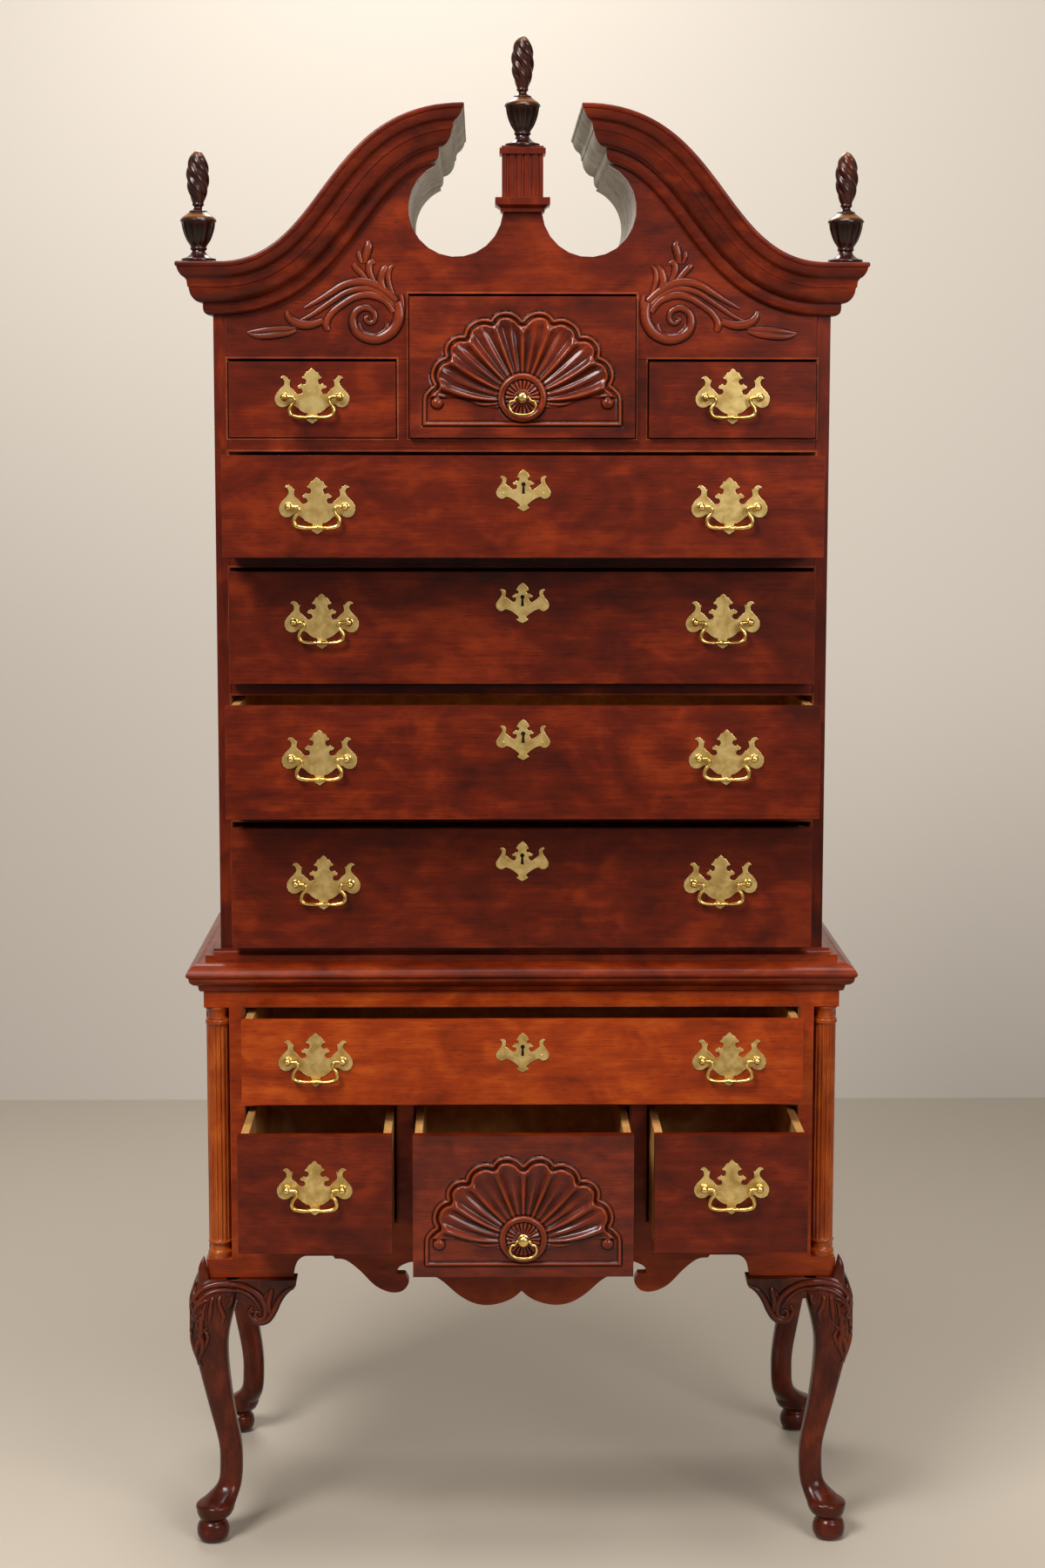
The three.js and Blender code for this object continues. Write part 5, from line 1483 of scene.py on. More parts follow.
        def knee(point: Vector) -> tuple[Vector, Vector]:
            """Finds the leg's wood straight behind a point, or else the wood nearest to it.

            Args:
                point: The point, in X and Z.

            Returns:
                The place on the wood, and its normal tipped to the front.
            """
            start = Vector((point.x, -4 * self.knee, point.z))
            hit = wood.ray_cast(start, Vector((0, 1, 0)))
            place, normal = hit[:2] if hit[0] else wood.find_nearest(start)[:2]
            return place, (normal + Vector((0, -0.6, 0))).normalized()

        carving = Carver(self.bench, knee, 0.42, 1.2, 0.6).strands(self.carving)
        ear = self.bench.loft([
            squared_ring(center, half, self.ear_power, self.ear_sides, z)
            for z, center, half in curve_through(self.ear, 3)
        ])
        self.bench.mark_relief(ear, [self.plain] * len(ear.data.vertices))
        return self.bench.joined(leg, carving, self._turned_round(carving), ear)

    def _bracket(self) -> bpy.types.Object:
        """Cuts the knee bracket at the leg's front.

        Returns:
            The bracket.
        """
        outline = profile_of(
            [(0.207, 0), (0.207, -0.6)],
            [(0.207, -0.6), (0.3, -0.45), (0.42, -0.53), (0.482, -0.66)],
            [
                (0.482, -0.66), (0.47, -0.82), (0.514, -0.94), (0.6, -1), (0.7, -0.92), (0.77, -0.72),
                (0.8, -0.55), (0.85, -0.36),
            ],
            [(0.85, -0.36), (0.91, -0.24), (0.986, -0.17)],
            [(0.986, -0.17), (1, 0)],
            steps=6,
        )
        points = [(p.x * self.bracket_length, self.height + p.y * self.bracket_drop) for p in outline]
        return self.bench.prism(points, -self.bracket_proud, self.bracket_inner, self.bracket_bevel)

    def _turned_round(self, piece: bpy.types.Object) -> bpy.types.Object:
        """Copies a piece of the front of a leg to its side.

        Args:
            piece: The piece.

        Returns:
            The copy.
        """
        turned = self.bench.copied(piece)
        turned.data.transform(Matrix(((0, 1, 0, 0), (1, 0, 0, 0), (0, 0, 1, 0), (0, 0, 0, 1))))
        self.bench.turn_out(turned)
        return turned


# DRAWERS AND BRASSES


@dataclass
class Brasses:
    """Backplates, posts, bails, ring pulls and escutcheons, drawn once and copied."""

    bench: Bench
    spacing: float = 83.0
    pivot_reach: float = 12.0
    pull_pivot_reach: float = 10.5
    plate_thickness: float = 1.6
    escutcheon_thickness: float = 1.4
    edge_bevel: float = 0.45
    wire_steps: int = 5
    wire_sides: int = 14
    plate_half: Sequence[Point] = (
        (0, 43.1), (-3.7, 40.3), (-4.5, 38.3), (-8.5, 37), (-11.8, 31.7), (-15.1, 28.9), (-12.6, 26.9),
        (-10.2, 26.9), (-8.5, 23.2), (-10.2, 19.1), (-13.8, 18.3), (-16.3, 20.4), (-17.6, 18.4),
        (-20.8, 16.7), (-22, 14.7), (-19.9, 12.6), (-15.9, 12.2), (-13.8, 8.5), (-15.1, 5.3),
        (-18.3, 4.1), (-22.4, 4.5), (-28.1, 11), (-33.4, 15.1), (-33.8, 19.1), (-32.2, 26.5),
        (-34.6, 25.2), (-37, 28.9), (-40.7, 31.7), (-44.4, 31.3), (-47.6, 28.1), (-44, 27.3),
        (-41.5, 23.2), (-41.9, 18.3), (-46, 13.4), (-51.7, 7.7), (-55.8, 1.2), (-56.2, -5.3),
        (-53.3, -11.8), (-48.4, -15.1), (-43.6, -15.5), (-38.7, -14.2), (-33.8, -11), (-28, -12.6),
        (-22.4, -15.9), (-18.3, -19.9), (-12.6, -23.6), (-7.7, -24.8), (-6.4, -29), (-8.1, -35),
        (-4.5, -37.4), (0, -40.3),
    )
    escutcheon_half: Sequence[Point] = (
        (0, 30.6), (-3.8, 28), (-6.8, 25), (-8.4, 21.6), (-10, 19.8), (-7, 18.6), (-5.6, 16),
        (-7.4, 13.8), (-10.4, 14.4), (-12.4, 12.6), (-16, 10.4), (-14.4, 8), (-10.6, 8.4), (-9.4, 6),
        (-11, 2), (-13.4, 0.8), (-16.6, 2.2), (-21.4, 6), (-26.4, 9.8), (-25.2, 13), (-25.4, 17.6),
        (-28.2, 20.4), (-31.6, 21.4), (-34.6, 19.4), (-31.8, 18), (-31, 13.6), (-32.6, 9.6),
        (-37.8, 2.6), (-40.4, -2.6), (-39.4, -8), (-35.2, -11.6), (-30.4, -12.4), (-24.8, -9.2),
        (-18.4, -11.4), (-12, -15.6), (-6.8, -19.8), (-5.4, -22.4), (-9, -25.4), (-4.8, -28.2),
        (0, -30.6),
    )
    bail_half: Sequence[Point] = (
        (-42.4, 0, 2.2), (-37, 0, 2.2), (-32.4, 0.2, 2.4), (-28, -0.8, 3), (-25.8, -4.4, 3),
        (-27.4, -9.4, 2.8), (-31.4, -14.6, 2.9), (-33.4, -20.6, 3.1), (-31.6, -26.4, 3.1),
        (-26, -29.5, 2.9), (-17, -30.8, 2.6), (-10.6, -30.8, 2.2), (-8.4, -30.6, 3), (-6.6, -30.5, 2.4),
        (0, -30.4, 3.4),
    )
    ring_half: Sequence[Point] = (
        (-6.2, 0, 1.7), (-9.6, 0, 1.7), (-11.4, -3, 1.8), (-13.6, -5.4, 1.9), (-17.4, -6, 1.9),
        (-19.4, -9.4, 1.9), (-19.8, -14, 1.9), (-17.6, -19.6, 1.9), (-12.4, -23.8, 1.9), (-6, -25.6, 2),
        (0, -26, 2.1),
    )
    models: dict[str, bpy.types.Object] = field(default_factory=dict)

    def build(self) -> None:
        """Draws one of each brass, with its pins on Z = 0 and its back on Y = 0."""
        plate = self._plate(self.plate_half, self.plate_thickness)
        for side in (-1, 1):
            plate = self.bench.joined(plate, self._post(side))
        self.models["plate"] = plate
        self.models["bail"] = self._bent(self.bail_half, self.pivot_reach)
        self.models["ring"] = self._bent(self.ring_half, self.pull_pivot_reach)
        self.models["pull_post"] = self._pull_post()
        self.models["escutcheon"] = self._escutcheon()

    def clear(self) -> None:
        """Takes the models away once all the copies are made."""
        for model in self.models.values():
            bpy.data.objects.remove(model)

    def _plate(self, half: Sequence[Point], thickness: float) -> bpy.types.Object:
        """Cuts a plate from sheet brass.

        Args:
            half: The left half of its outline, top to bottom.
            thickness: The sheet's thickness.

        Returns:
            The plate.
        """
        right = [(-x, z) for x, z in reversed(half[1:-1])]
        return self.bench.prism([*half, *right], -thickness, 0, self.edge_bevel)

    def _post(self, side: int) -> bpy.types.Object:
        """Turns a post that holds one end of a bail.

        Args:
            side: -1 for the left one, 1 for the right one.

        Returns:
            The post.
        """
        profile = profile_of(
            [(6.4, 0.4), (6.6, 2.2), (6, 3.2), (4.4, 3.8)],
            [(4.4, 3.8), (3.4, 5.2), (3.3, 6.4), (4.4, 7.4)],
            [(4.4, 7.4), (5.3, 8.6), (5.6, 11), (5.6, 13), (5, 15.2), (3.4, 17), (1.6, 17.8), (0, 18)],
            steps=4,
        )
        return self.bench.turned(profile, 24, (side * self.spacing / 2, 0, 0))

    def _bent(self, half: Sequence[Point], reach: float) -> bpy.types.Object:
        """Bends a bail or a ring whose pins lie at some reach in front of the plate.

        Args:
            half: X, Z and radius along its left half, from the pin to the middle.
            reach: From the plate's back to the pins.

        Returns:
            The bent rod.
        """
        right = [(-x, z, r) for x, z, r in reversed(half[:-1])]
        line = curve_through([*half, *right], self.wire_steps)
        return self.bench.rod([(p.x, -reach, p.y) for p in line], [p.z for p in line], self.wire_sides)

    def _pull_post(self) -> bpy.types.Object:
        """Turns the domed post of a ring pull.

        Returns:
            The post.
        """
        profile = profile_of(
            [(8.4, 0), (8.5, 1.6), (7.6, 2.4)],
            [(7.6, 2.4), (6, 3.4), (5.6, 5.6), (6.4, 7.4)],
            [(6.4, 7.4), (8, 8.4), (8.4, 10.2), (7.8, 12.6), (5.8, 14.8), (3, 15.8), (0, 16)],
            steps=4,
        )
        return self.bench.turned(profile, 28, (0, 0, 0))

    def _escutcheon(self) -> bpy.types.Object:
        """Cuts an escutcheon with its keyhole and two pins, and a dark sheet of painted shade for inside the
        keyhole.

        Returns:
            The escutcheon.
        """
        plate = self._plate(self.escutcheon_half, self.escutcheon_thickness)
        # A dark sheet of painted shade that sits inside the keyhole
        self.models["keyhole"] = self.bench.prism(self._keyhole_outline(), -0.5, -0.1)
        self.bench.cut(plate, self.bench.prism(self._keyhole_outline(), -3, 1))
        pin = [(1.3, 1.2), (1.2, 1.7), (0.7, 2.1), (0, 2.2)]
        return self.bench.joined(plate, *(self.bench.turned(pin, 12, (x, 0, -4)) for x in (-29, 29)))

    @staticmethod
    def _keyhole_outline() -> list[Point]:
        """A round hole with a slot that widens below it, in X and Z."""
        turns = [math.radians(-62 + 304 * k / 20) for k in range(21)]
        return [*((3.3 * math.cos(a), 8.9 + 3.3 * math.sin(a)) for a in turns), (-2.4, -5.0), (2.4, -5.0)]


@dataclass
class ShellFront:
    """The carved front of a centre drawer, as relief over a fine grid."""

    scale: float
    spacing: float = 0.95
    board_thickness: float = 20.0
    hub_radius: float = 36.5
    ring_inner: float = 26.6
    border: float = 6.2
    bead_rise: float = 2.6
    petals: int = 22
    ball_place: Point = (128.5, -8.0)
    ball_radius: float = 9.0
    relief_reach: int = 3
    relief_gain: float = 0.42
    lobe_steps: int = 12
    valley_angles: Sequence[float] = (0.0, 21.5, 43.3, 62.8, 82.2, 97.0)
    lobe_angles: Sequence[float] = (0.0, 22.3, 43.6, 62.3, 82.2)
    lobe_radii: Sequence[float] = (116.4, 126.2, 128.7, 132.4, 136.0)
    lobe_rises: Sequence[float] = (10.0, 8.0, 9.5, 9.0)
    arm_end: Sequence[Point] = (
        (-139.0, 15.5), (-144.0, 10.5), (-148.6, 4.5), (-150.4, -3), (-150.6, -16), (-150.6, -43),
    )

    def heights(self, u: np.ndarray, v: np.ndarray) -> np.ndarray:
        """Height of the carving over the plain front.

        Args:
            u: Distances to the right of the hub, at the shell's real size.
            v: Distances above the hub.

        Returns:
            The heights, in millimetres.
        """
        inside = self._inside(u, v)
        r = np.hypot(u, v)
        past_border = inside - self.border
        rim = np.clip(past_border, 0, 60)
        swell = np.sqrt(np.abs(np.sin(math.pi * inside / self.border)))
        bead = np.where((inside > 0) & (past_border < 0), self.bead_rise * swell, 0)
        floor = -16.5 + 14.5 * self._step(np.abs(u), 48, 56)
        fan = self._step(past_border, 1.5, 4.5) * self._step(v, floor, 5) * (r > self.hub_radius - 3)
        body = 2.6 + 2.2 * self._step(r, self.hub_radius, 50) + 1.2 * np.exp(-(((rim - 9) / 7) ** 2))
        ribs = self._ribs(u, v, r) * self._step(rim, 0, 16) * (0.5 + 0.5 * self._step(r, 34, 40))
        carved = fan * (body + ribs) + self._groove(past_border - 1.2, depth=0.8, width=1.4)
        height = self._groove(inside, depth=1.1, width=1.6) * (inside < 4) + bead
        height += np.where(inside > 0, carved, 0) + self._ball(u, v)
        return self._hub(u, v, r, height)

    def _ribs(self, u: np.ndarray, v: np.ndarray, r: np.ndarray) -> np.ndarray:
        """Ribs along the valleys of the edge, and a lower one in the middle of each lobe.

        Args:
            u: Distances to the right of the hub.
            v: Distances above the hub.
            r: Distances from the hub.

        Returns:
            The ribs' heights.
        """
        theta = np.degrees(np.arctan2(np.abs(u), v))
        spread = 1 + 0.16 * np.clip(1 - (r - self.hub_radius) / 90, 0, 1) * np.clip(theta / 90, 0, 1)
        share = np.interp(theta / spread, self.valley_angles, range(len(self.valley_angles)))
        phase = 2 * math.pi * share
        return 1.7 * np.cos(phase) + 2.1 * np.cos(2 * phase) - 0.5

    def _ball(self, u: np.ndarray, v: np.ndarray) -> np.ndarray:
        """The balls at the ends of the arms, a little flatter than round."""
        distance = np.hypot(np.abs(u) - self.ball_place[0], v - self.ball_place[1])
        return np.sqrt(np.clip(self.ball_radius**2 - distance**2, 0, None)) * 0.75

    def _hub(self, u: np.ndarray, v: np.ndarray, r: np.ndarray, height: np.ndarray) -> np.ndarray:
        """Sets the hub's ring and its gouged rosette over the rest.

        Args:
            u: Distances to the right of the hub.
            v: Distances above the hub.
            r: Distances from the hub.
            height: The heights so far.

        Returns:
            The heights with the hub.
        """
        ring = 3.4 + 4.2 * np.sqrt(np.clip(1 - ((r - 31.6) / 5.0) ** 2, 0, None))
        petals = 2.6 * np.abs(np.cos(self.petals / 2 * np.arctan2(v, u))) ** 0.8
        petals = petals * self._step(r, 10, 3) * self._step(-r, -27, 2)
        rosette = 4.9 - 2.6 * self._step(r, 9.5, 4) + petals
        outside = height + self._groove(r - self.hub_radius - 1, depth=0.8, width=1.6)
        return np.where(r > self.hub_radius, outside, np.where(r > self.ring_inner, ring, rosette))

    def _inside(self, u: np.ndarray, v: np.ndarray) -> np.ndarray:
        """Distance inside the outline, negative outside it.

        Args:
            u: Distances to the right of the hub.
            v: Distances above the hub.

        Returns:
            The distances to the outline.
        """
        half = [*reversed(self.arm_end), *reversed(self._lobes())]
        whole = np.array([*half, *[(-x, z) for x, z in reversed(half[:-1])]])
        ends = np.roll(whole, -1, axis=0)
        best = np.full(u.shape, np.inf)
        crossing = np.zeros(u.shape, int)
        for (ax, az), (bx, bz) in zip(whole, ends):
            dx, dz = bx - ax, bz - az
            t = np.clip(((u - ax) * dx + (v - az) * dz) / (dx * dx + dz * dz + 1e-9), 0, 1)
            best = np.minimum(best, np.hypot(u - ax - t * dx, v - az - t * dz))
            if dz:
                over = (az > v) != (bz > v)
                crossing += over & (u < (bx - ax) * (v - az) / dz + ax)
        return np.where(crossing % 2 == 1, best, -best)

    def _lobes(self) -> list[Point]:
        """Draws the lobes of the left half, from the middle to the last valley.

        Returns:
            The lobes' points.
        """
        places = []
        for k, rise in enumerate(self.lobe_rises):
            (start, end), (near, far) = self.lobe_angles[k : k + 2], self.lobe_radii[k : k + 2]
            for step in range(self.lobe_steps):
                t = step / self.lobe_steps
                swell = rise * (1 - abs(2 * t - 1) ** 2.3)
                places.append((start * (1 - t) + end * t, near * (1 - t) + far * t + swell))
        places.append((self.lobe_angles[-1], self.lobe_radii[-1]))
        turned = [(math.radians(angle), r) for angle, r in places]
        return [(-r * math.sin(a), r * math.cos(a)) for a, r in turned]

    @staticmethod
    def _step(value: np.ndarray, start: float | np.ndarray, length: float) -> np.ndarray:
        """A soft step from 0 to 1 that begins at a start and takes a length."""
        t = np.clip((value - start) / length, 0, 1)
        return t * t * (3 - 2 * t)

    @staticmethod
    def _groove(distance: np.ndarray, depth: float, width: float) -> np.ndarray:
        """A round-bottomed groove at no distance."""
        return -depth * np.exp(-((distance / width) ** 2))

    def carve(
        self, bench: Bench, width: float, bottom: float, top: float, front: float, hub_rise: float
    ) -> bpy.types.Object:
        """Carves the front board of a drawer.

        Args:
            bench: Where it is made.
            width: The board's width.
            bottom: Its lower edge.
            top: Its upper edge.
            front: Y of its plain face.
            hub_rise: The hub above the lower edge.

        Returns:
            The board, with its relief as an attribute.
        """
        across, up = round(width / self.spacing), round((top - bottom) / self.spacing)
        bench.clear_choice()
        bpy.ops.mesh.primitive_grid_add(x_subdivisions=across, y_subdivisions=up, size=1.0)
        board = bpy.context.object
        flat = np.zeros(len(board.data.vertices) * 3)
        board.data.vertices.foreach_get("co", flat)
        flat = flat.reshape(-1, 3)
        x, z = flat[:, 0] * width, bottom + (flat[:, 1] + 0.5) * (top - bottom)
        height = self.heights(x / self.scale, (z - bottom - hub_rise) / self.scale)
        board.data.vertices.foreach_set("co", np.stack([x, front - height, z], axis=1).ravel())
        grid = height.reshape(up + 1, across + 1)
        # The relief is the height above its blurred surroundings, so the finish paints shade into the hollows
        # and lightens the crests
        near, reach = grid.copy(), range(-self.relief_reach, self.relief_reach + 1)
        for axis in (0, 1):
            near = sum(np.roll(near, k, axis=axis) for k in reach) / len(reach)
        bench.mark_relief(board, np.clip(0.5 + (grid - near) * self.relief_gain, 0, 1).ravel())
        board.data.update()
        bench.choose(board)
        bpy.ops.object.mode_set(mode="EDIT")
        bpy.ops.mesh.select_all(action="SELECT")
        bpy.ops.mesh.region_to_loop()
        bpy.ops.mesh.extrude_edges_move(TRANSFORM_OT_translate={"value": (0, self.board_thickness, 0)})
        bpy.ops.mesh.edge_face_add()
        bpy.ops.mesh.select_all(action="SELECT")
        bpy.ops.mesh.normals_make_consistent(inside=False)
        bpy.ops.object.mode_set(mode="OBJECT")
        return board


@dataclass
class DrawerPlan:
    """One drawer: its opening, how far it stands open and its brasses."""

    name: str
    x: float
    width: float
    sill: float
    height: float
    open: float
    handles: Sequence[float] = ()
    handle_rise: float = 0.0
    escutcheon_rise: float | None = None
    shell_scale: float = 0.0
    face: float = 0.0
    length: float = 445.0

    @property
    def front(self) -> float:
        """Y of the front's plain face."""
        return self.face - self.open

    @property
    def bottom(self) -> float:
        """Lower edge of the front."""
        return self.sill + 1.5

    @property
    def top(self) -> float:
        """Upper edge of the front."""
        return self.sill + self.height - 4

    @property
    def middle(self) -> float:
        """Half the height of the front."""
        return (self.bottom + self.top) / 2

    @property
    def body(self) -> str:
        """The CAD body of the drawer."""
        return f"drawer_{self.name}"

    def hand(self, x: float) -> str:
        """Name of a handle at a place on the front."""
        return self.name + ("" if x == 0 else "_left" if x < 0 else "_right")


LOWER_CASE = {"face": -25.0, "length": 470.0}
SHORT_UPPER = {"handles": (0,), "handle_rise": 4}
SHORT_LOWER = {"handles": (0,), "handle_rise": 10, **LOWER_CASE}
LONG_UPPER = (-303, 303)
LONG_LOWER = (-313.5, 313.5)


@dataclass
class Drawers:
    """Eleven drawers with their fronts, boxes and brasses."""

    bench: Bench
    brasses: Brasses
    front_thickness: float = 20.5
    side_thickness: float = 12.0
    bead_width: float = 3.0
    bead_proud: float = 0.9
    hub_rise: float = 60.0
    hub_face: float = 5.2
    plans: Sequence[DrawerPlan] = (
        DrawerPlan("top_left", -317, 255, 1725, 119, 3, **SHORT_UPPER),
        DrawerPlan("top_center", 0, 343, 1725, 216, 12, shell_scale=1.0),
        DrawerPlan("top_right", 317, 255, 1725, 119, 10, **SHORT_UPPER),
        DrawerPlan("long_1", 0, 889, 1550, 155, 135, LONG_UPPER, 0, 24),
        DrawerPlan("long_2", 0, 889, 1355, 175, 39, LONG_UPPER, 9, 38),
        DrawerPlan("long_3", 0, 889, 1160, 175, 127, LONG_UPPER, 7, 35),
        DrawerPlan("long_4", 0, 889, 950, 190, 44, LONG_UPPER, 8, 42),
        DrawerPlan("lower_long", 0, 855, 720, 135, 83, LONG_LOWER, 4, 16, **LOWER_CASE),
        DrawerPlan("lower_left", -311, 233, 515, 185, 175, **SHORT_LOWER),
        DrawerPlan("lower_center", 0, 333, 478.5, 221.5, 175, shell_scale=0.98, **LOWER_CASE),
        DrawerPlan("lower_right", 311, 233, 515, 185, 175, **SHORT_LOWER),
    )

    def build(self) -> None:
        """Makes every drawer and sets its brasses."""
        for plan in self.plans:
            if plan.shell_scale:
                self._shell_drawer(plan)
            else:
                self._plain_drawer(plan)
            self._bead(plan)
            for x in plan.handles:
                self._handle(plan, x)
            if plan.escutcheon_rise is not None:
                self._escutcheon(plan)

    def _bead(self, plan: DrawerPlan) -> None:
        """Runs a bead round a drawer's opening.

        Args:
            plan: The drawer.
        """
        width = self.bead_width
        low, high = plan.x - plan.width / 2, plan.x + plan.width / 2
        bottom, top = plan.sill, plan.sill + plan.height
        front, back = plan.face - self.bead_proud, plan.face + 2
        strips = [
            ((low - width, bottom - width), (high + width, bottom)),
            ((low - width, top), (high + width, top + width)),
            ((low - width, bottom), (low, top)),
            ((high, bottom), (high + width, top)),
        ]
        pieces = [self.bench.slab((a[0], front, a[1]), (b[0], back, b[1]), 0.8) for a, b in strips]
        self.bench.hand_over(self.bench.joined(*pieces), f"bead_{plan.name}", BEAD_WOOD)

    def _plain_drawer(self, plan: DrawerPlan) -> None:
        """Dresses a copy of a drawer with a plain front.

        Args:
            plan: The drawer.
        """
        self.bench.hand_over(
            self.bench.node_copy(plan.body, 0.5),
            f"{plan.name}_box",
            LOWER_ACROSS if plan.name == "lower_long" else UPPER_ACROSS,
            DRAWER_WOOD,
            replaces=plan.body,
            body=plan.body,
            slot="drawer_mahogany",
            choose=front_of(plan.front + self.front_thickness),
        )

    def _shell_drawer(self, plan: DrawerPlan) -> None:
        """Makes a drawer with a carved shell, its box and its ring pull.

        Args:
            plan: The drawer.
        """
        half = plan.width / 2 - 1.5
        rise = self.hub_rise * plan.shell_scale
        own = {"body": plan.body, "slot": "drawer_mahogany"}
        board = ShellFront(plan.shell_scale).carve(
            self.bench, 2 * half, plan.bottom, plan.top, plan.front, rise
        )
        self.bench.hand_over(board, f"{plan.name}_shell_front", SHELL_WOOD, angle=60, **own)
        box = self._box(plan, half - 2)
        self.bench.hand_over(box, f"{plan.name}_box", DRAWER_WOOD, replaces=plan.body, **own)
        place = (plan.x, plan.front - self.hub_face, plan.bottom + rise)
        node = f"pull_post_{plan.name}"
        self._cast("pull_post", place, f"turned_{node}", node, plan.body)
        node = f"pull_ring_{plan.name}"
        self._cast("ring", place, f"cast_{node}", node, node)

    def _box(self, plan: DrawerPlan, outer: float) -> bpy.types.Object:
        """Joins the sides, the back and the bottom behind a carved front.

        Args:
            plan: The drawer.
            outer: Half the box's width.

        Returns:
            The box.
        """
        thick, start, rear = self.side_thickness, plan.front + 19, plan.front + plan.length
        inner, side_top, under = outer - thick, plan.top - 6, plan.sill + FIT
        floor = under + 8
        return self.bench.joined(
            self.bench.slab((-outer, start, under), (-inner, rear, side_top), 1.2),
            self.bench.slab((inner, start, under), (outer, rear, side_top), 1.2),
            self.bench.slab((-inner - 1, rear - thick, floor), (inner + 1, rear, side_top - 14), 0.8),
            self.bench.slab((-inner - 1, start, floor), (inner + 1, rear - 1, floor + 7)),
        )

    def _cast(self, model: str, place: Point, name: str, node: str, body: str) -> None:
        """Sets a copy of a cast brass in place of its CAD node.

        Args:
            model: The brass that is copied.
            place: Where it goes.
            name: The copy's name.
            node: The CAD node.
            body: The body that it rides on.
        """
        piece = self.bench.copied(self.brasses.models[model], place)
        self.bench.hand_over(piece, name, CAST_BRASS, replaces=node, body=body, slot="brass", angle=60)

    def _handle(self, plan: DrawerPlan, x: float) -> None:
        """Sets a backplate with its posts, and its bail.

        Args:
            plan: The drawer.
            x: The handle's place from the middle of the front.
        """
        name = plan.hand(x)
        place = (plan.x + x, plan.front - FIT, plan.middle + plan.handle_rise)
        posts = place[1] - self.brasses.plate_thickness - 0.1

        def choose(center: Vector, normal: Vector) -> int:
            """Gives the cast posts in front of the plate the third finish."""
            return 2 if center.y < posts else face_or_edge(center, normal)

        self.bench.hand_over(
            self.bench.copied(self.brasses.models["plate"], place),
            f"cut_plate_{name}",
            PLATE_BRASS,
            EDGE_BRASS,
            CAST_BRASS,
            replaces=f"plate_{name}",
            body=plan.body,
            slot="brass",
            choose=choose,
            angle=24,
        )
        self._cast("bail", place, f"cast_bail_{name}", f"bail_{name}", f"bail_{name}")

    def _escutcheon(self, plan: DrawerPlan) -> None:
        """Sets the keyhole's plate on the middle of a front.

        Args:
            plan: The drawer.
        """
        place = (plan.x, plan.front, plan.middle + plan.escutcheon_rise)
        models = self.brasses.models
        plate, shade = (self.bench.copied(models[key], place) for key in ("escutcheon", "keyhole"))
        self.bench.hand_over(
            plate,
            f"escutcheon_{plan.name}",
            PLATE_BRASS,
            EDGE_BRASS,
            body=plan.body,
            slot="brass",
            choose=face_or_edge,
            angle=24,
        )
        own = {"body": plan.body, "slot": "drawer_mahogany"}
        # A dark sheet stands for the shade inside the keyhole
        self.bench.hand_over(shade, f"keyhole_{plan.name}", KEYHOLE_DARK, **own)


# STUDIO


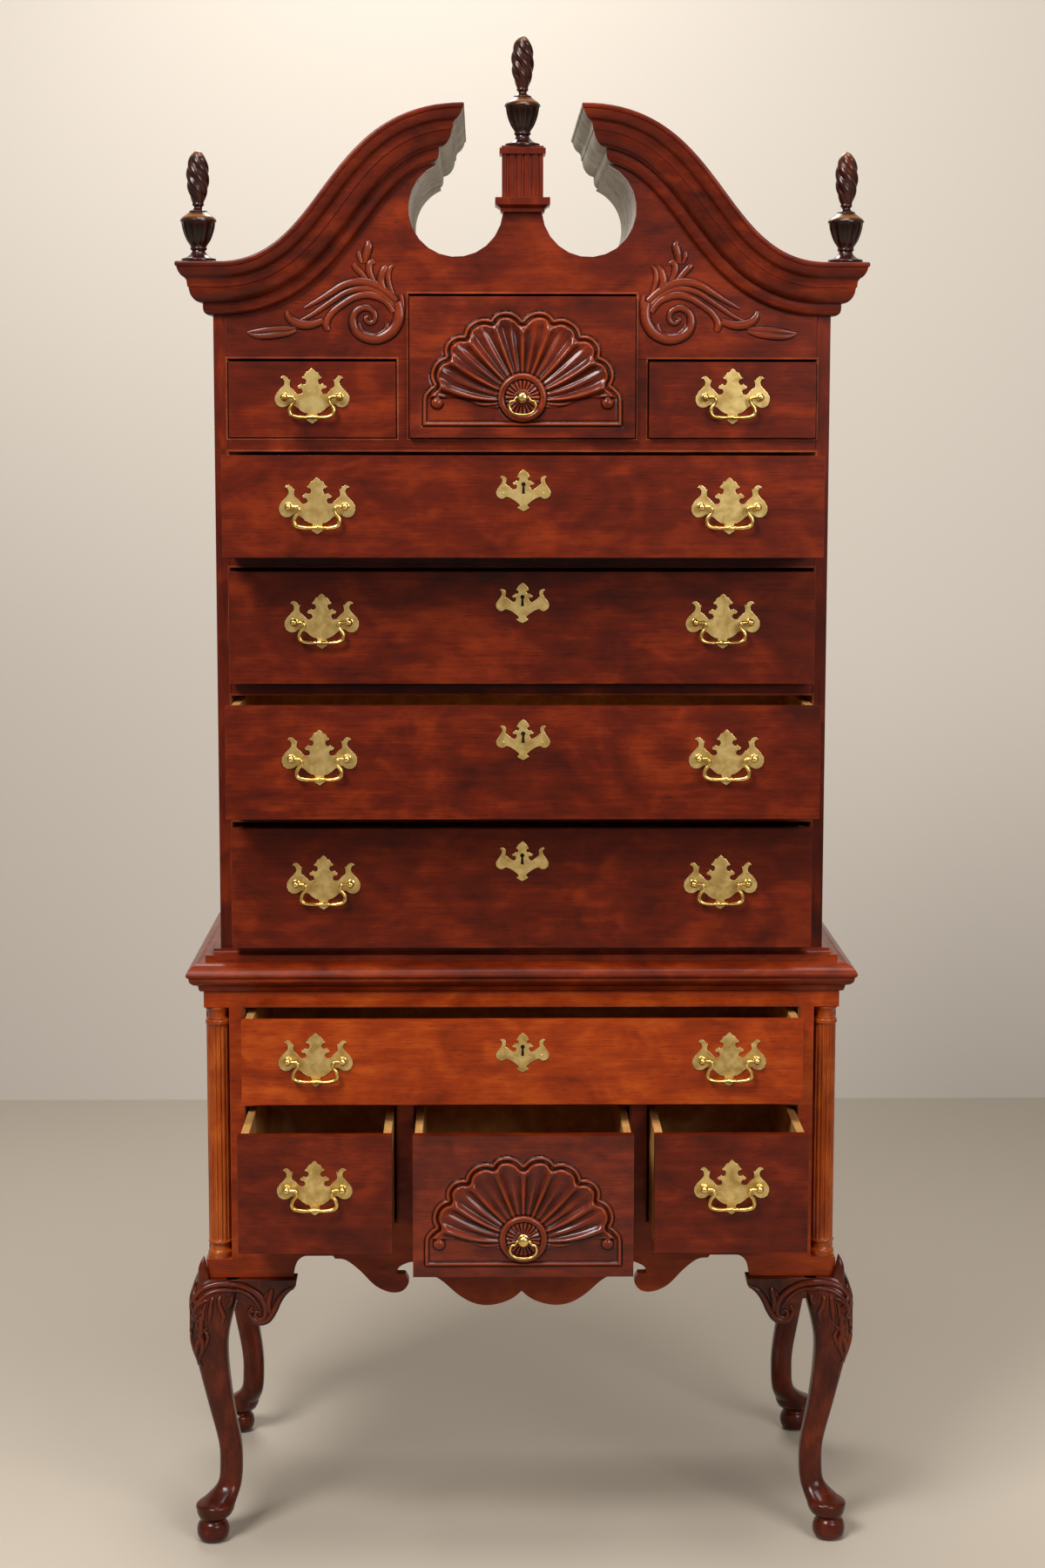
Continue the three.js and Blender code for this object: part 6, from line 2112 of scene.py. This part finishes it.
@dataclass
class Studio:
    """Floor, wall, lamps and the camera at the photograph's place, in metres."""

    face_y: float
    floor_color: Color = srgb(196, 183, 166)
    wall_color: Color = srgb(228, 217, 203)
    world_color: Color = srgb(232, 224, 212)
    sheet_size: float = 24.0
    sheet_light: float = 0.3
    wall_distance: float = 2.94
    world_light: float = 0.15
    world_seen: float = 0.85
    world_mirrored: float = 0.45
    camera_place: Point = (-0.0594, -4.3282, 1.7418)
    pitch: float = 7.151
    yaw: float = 0.798
    roll: float = 0.059
    lens: float = 65.225
    sensor: float = 36.0
    aim: Point = (0, 0, 1.2)
    lamps: Sequence[tuple[str, Point, float, float]] = (
        ("key", (-2.0, -3.4, 4.6), 1.7, 215),
        ("fill", (2.5, -4.2, 3.0), 2.0, 100),
        ("overhead", (0.3, -1.2, 4.9), 1.6, 75),
        ("rear", (-0.4, 1.9, 4.0), 1.4, 50),
    )

    def build(self) -> None:
        """Makes the stage, the lamps, the world and the camera."""
        self._sheet("floor", (0, 0, 0), (0, 0, 0), self.floor_color, 0.6)
        place = (0, self.face_y + self.wall_distance, self.sheet_size / 2)
        self._open_behind(self._sheet("wall", place, (math.pi / 2, 0, 0), self.wall_color, 0.9))
        for name, place, size, power in self.lamps:
            self._lamp(name, place, size, power)
        self._world()
        self._camera()
        bpy.context.scene.view_settings.view_transform = "Standard"

    def _world(self) -> None:
        """Sets a dim even world that is seen as a pale backdrop, and more faintly in gloss."""
        world = bpy.data.worlds.new("studio")
        bpy.context.scene.world = world
        world.use_nodes = True
        nodes = NodeSheet(world.node_tree)
        rays = nodes.add("ShaderNodeLightPath").outputs
        mirrored = nodes.math("MAXIMUM", rays["Is Glossy Ray"], rays["Is Transmission Ray"])
        mirrored = nodes.math("MULTIPLY", mirrored, self.world_mirrored)
        seen = nodes.math("MULTIPLY", rays["Is Camera Ray"], self.world_seen)
        strength = nodes.math("MAXIMUM", nodes.math("MAXIMUM", seen, mirrored), self.world_light)
        nodes.fill(world.node_tree.nodes["Background"], Color=self.world_color, Strength=strength)

    @staticmethod
    def _open_behind(wall: bpy.types.Object) -> None:
        """Lets a sheet be seen through from behind.

        Args:
            wall: The sheet.
        """
        nodes = NodeSheet(wall.data.materials[0].node_tree)
        output = next(n for n in nodes.tree.nodes if n.type == "OUTPUT_MATERIAL")
        faces = (
            nodes.add("ShaderNodeNewGeometry").outputs["Backfacing"],
            output.inputs["Surface"].links[0].from_socket,
            nodes.add("ShaderNodeBsdfTransparent").outputs[0],
        )
        mix = nodes.add("ShaderNodeMixShader")
        for socket, value in zip(mix.inputs, faces):
            nodes.feed(socket, value)
        nodes.fill(output, Surface=mix.outputs[0])

    def _sheet(
        self, name: str, place: Point, turn: Point, color: Color, roughness: float
    ) -> bpy.types.Object:
        """Lays one plain sheet of the stage, which lights the highboy less than it shows.

        Args:
            name: Its name.
            place: Its middle.
            turn: Its turn.
            color: Its colour.
            roughness: Its roughness.

        Returns:
            The sheet.
        """
        Bench.clear_choice()
        bpy.ops.mesh.primitive_plane_add(size=self.sheet_size, location=place, rotation=turn)
        sheet = bpy.context.object
        sheet.name = name
        material, nodes, shader = start_material(name)
        rays = nodes.add("ShaderNodeLightPath").outputs
        seen = nodes.math("MAXIMUM", rays["Is Camera Ray"], rays["Is Glossy Ray"])
        seen = nodes.math("MAXIMUM", seen, rays["Is Transmission Ray"])
        shown = nodes.mixed(seen, scaled(color, self.sheet_light), color)
        nodes.fill(shader, Base_Color=shown, Roughness=roughness)
        sheet.data.materials.append(material)
        return sheet

    def _lamp(self, name: str, place: Point, size: float, power: float) -> None:
        """Hangs a square soft lamp that points at the middle of the highboy.

        Args:
            name: Its name.
            place: Where it hangs.
            size: Its width.
            power: Its power, in watts.
        """
        Bench.clear_choice()
        bpy.ops.object.light_add(type="AREA", location=place)
        lamp = bpy.context.object
        lamp.name = name
        lamp.data.size = size
        lamp.data.energy = power
        lamp.rotation_euler = (Vector(self.aim) - Vector(place)).to_track_quat("-Z", "Y").to_euler()
        lamp.visible_camera = False

    def _camera(self) -> None:
        """Sets the camera where the photograph was taken from."""
        bpy.ops.object.camera_add()
        camera = bpy.context.object
        x, y, z = self.camera_place
        turn = Euler((math.radians(90 - self.pitch), 0, math.radians(-self.yaw))).to_matrix()
        turn @= Matrix.Rotation(math.radians(self.roll), 3, "Z")
        camera.matrix_world = Matrix.Translation((x, y + self.face_y, z)) @ turn.to_4x4()
        camera.data.sensor_fit = "AUTO"
        camera.data.sensor_width = self.sensor
        camera.data.lens = self.lens
        bpy.context.scene.camera = camera


def main() -> None:
    """Builds the highboy piece by piece."""
    logging.basicConfig(level=logging.INFO, format="%(message)s")
    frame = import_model()
    face_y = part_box("upper_carcase")[0].y
    bench = Bench(frame, face_y)
    Cases(bench).build()
    Pediment(bench).build()
    Finials(bench).build()
    Legs(bench).build()
    brasses = Brasses(bench)
    brasses.build()
    Drawers(bench, brasses).build()
    brasses.clear()
    Studio(face_y).build()


if __name__ == "__main__":
    main()
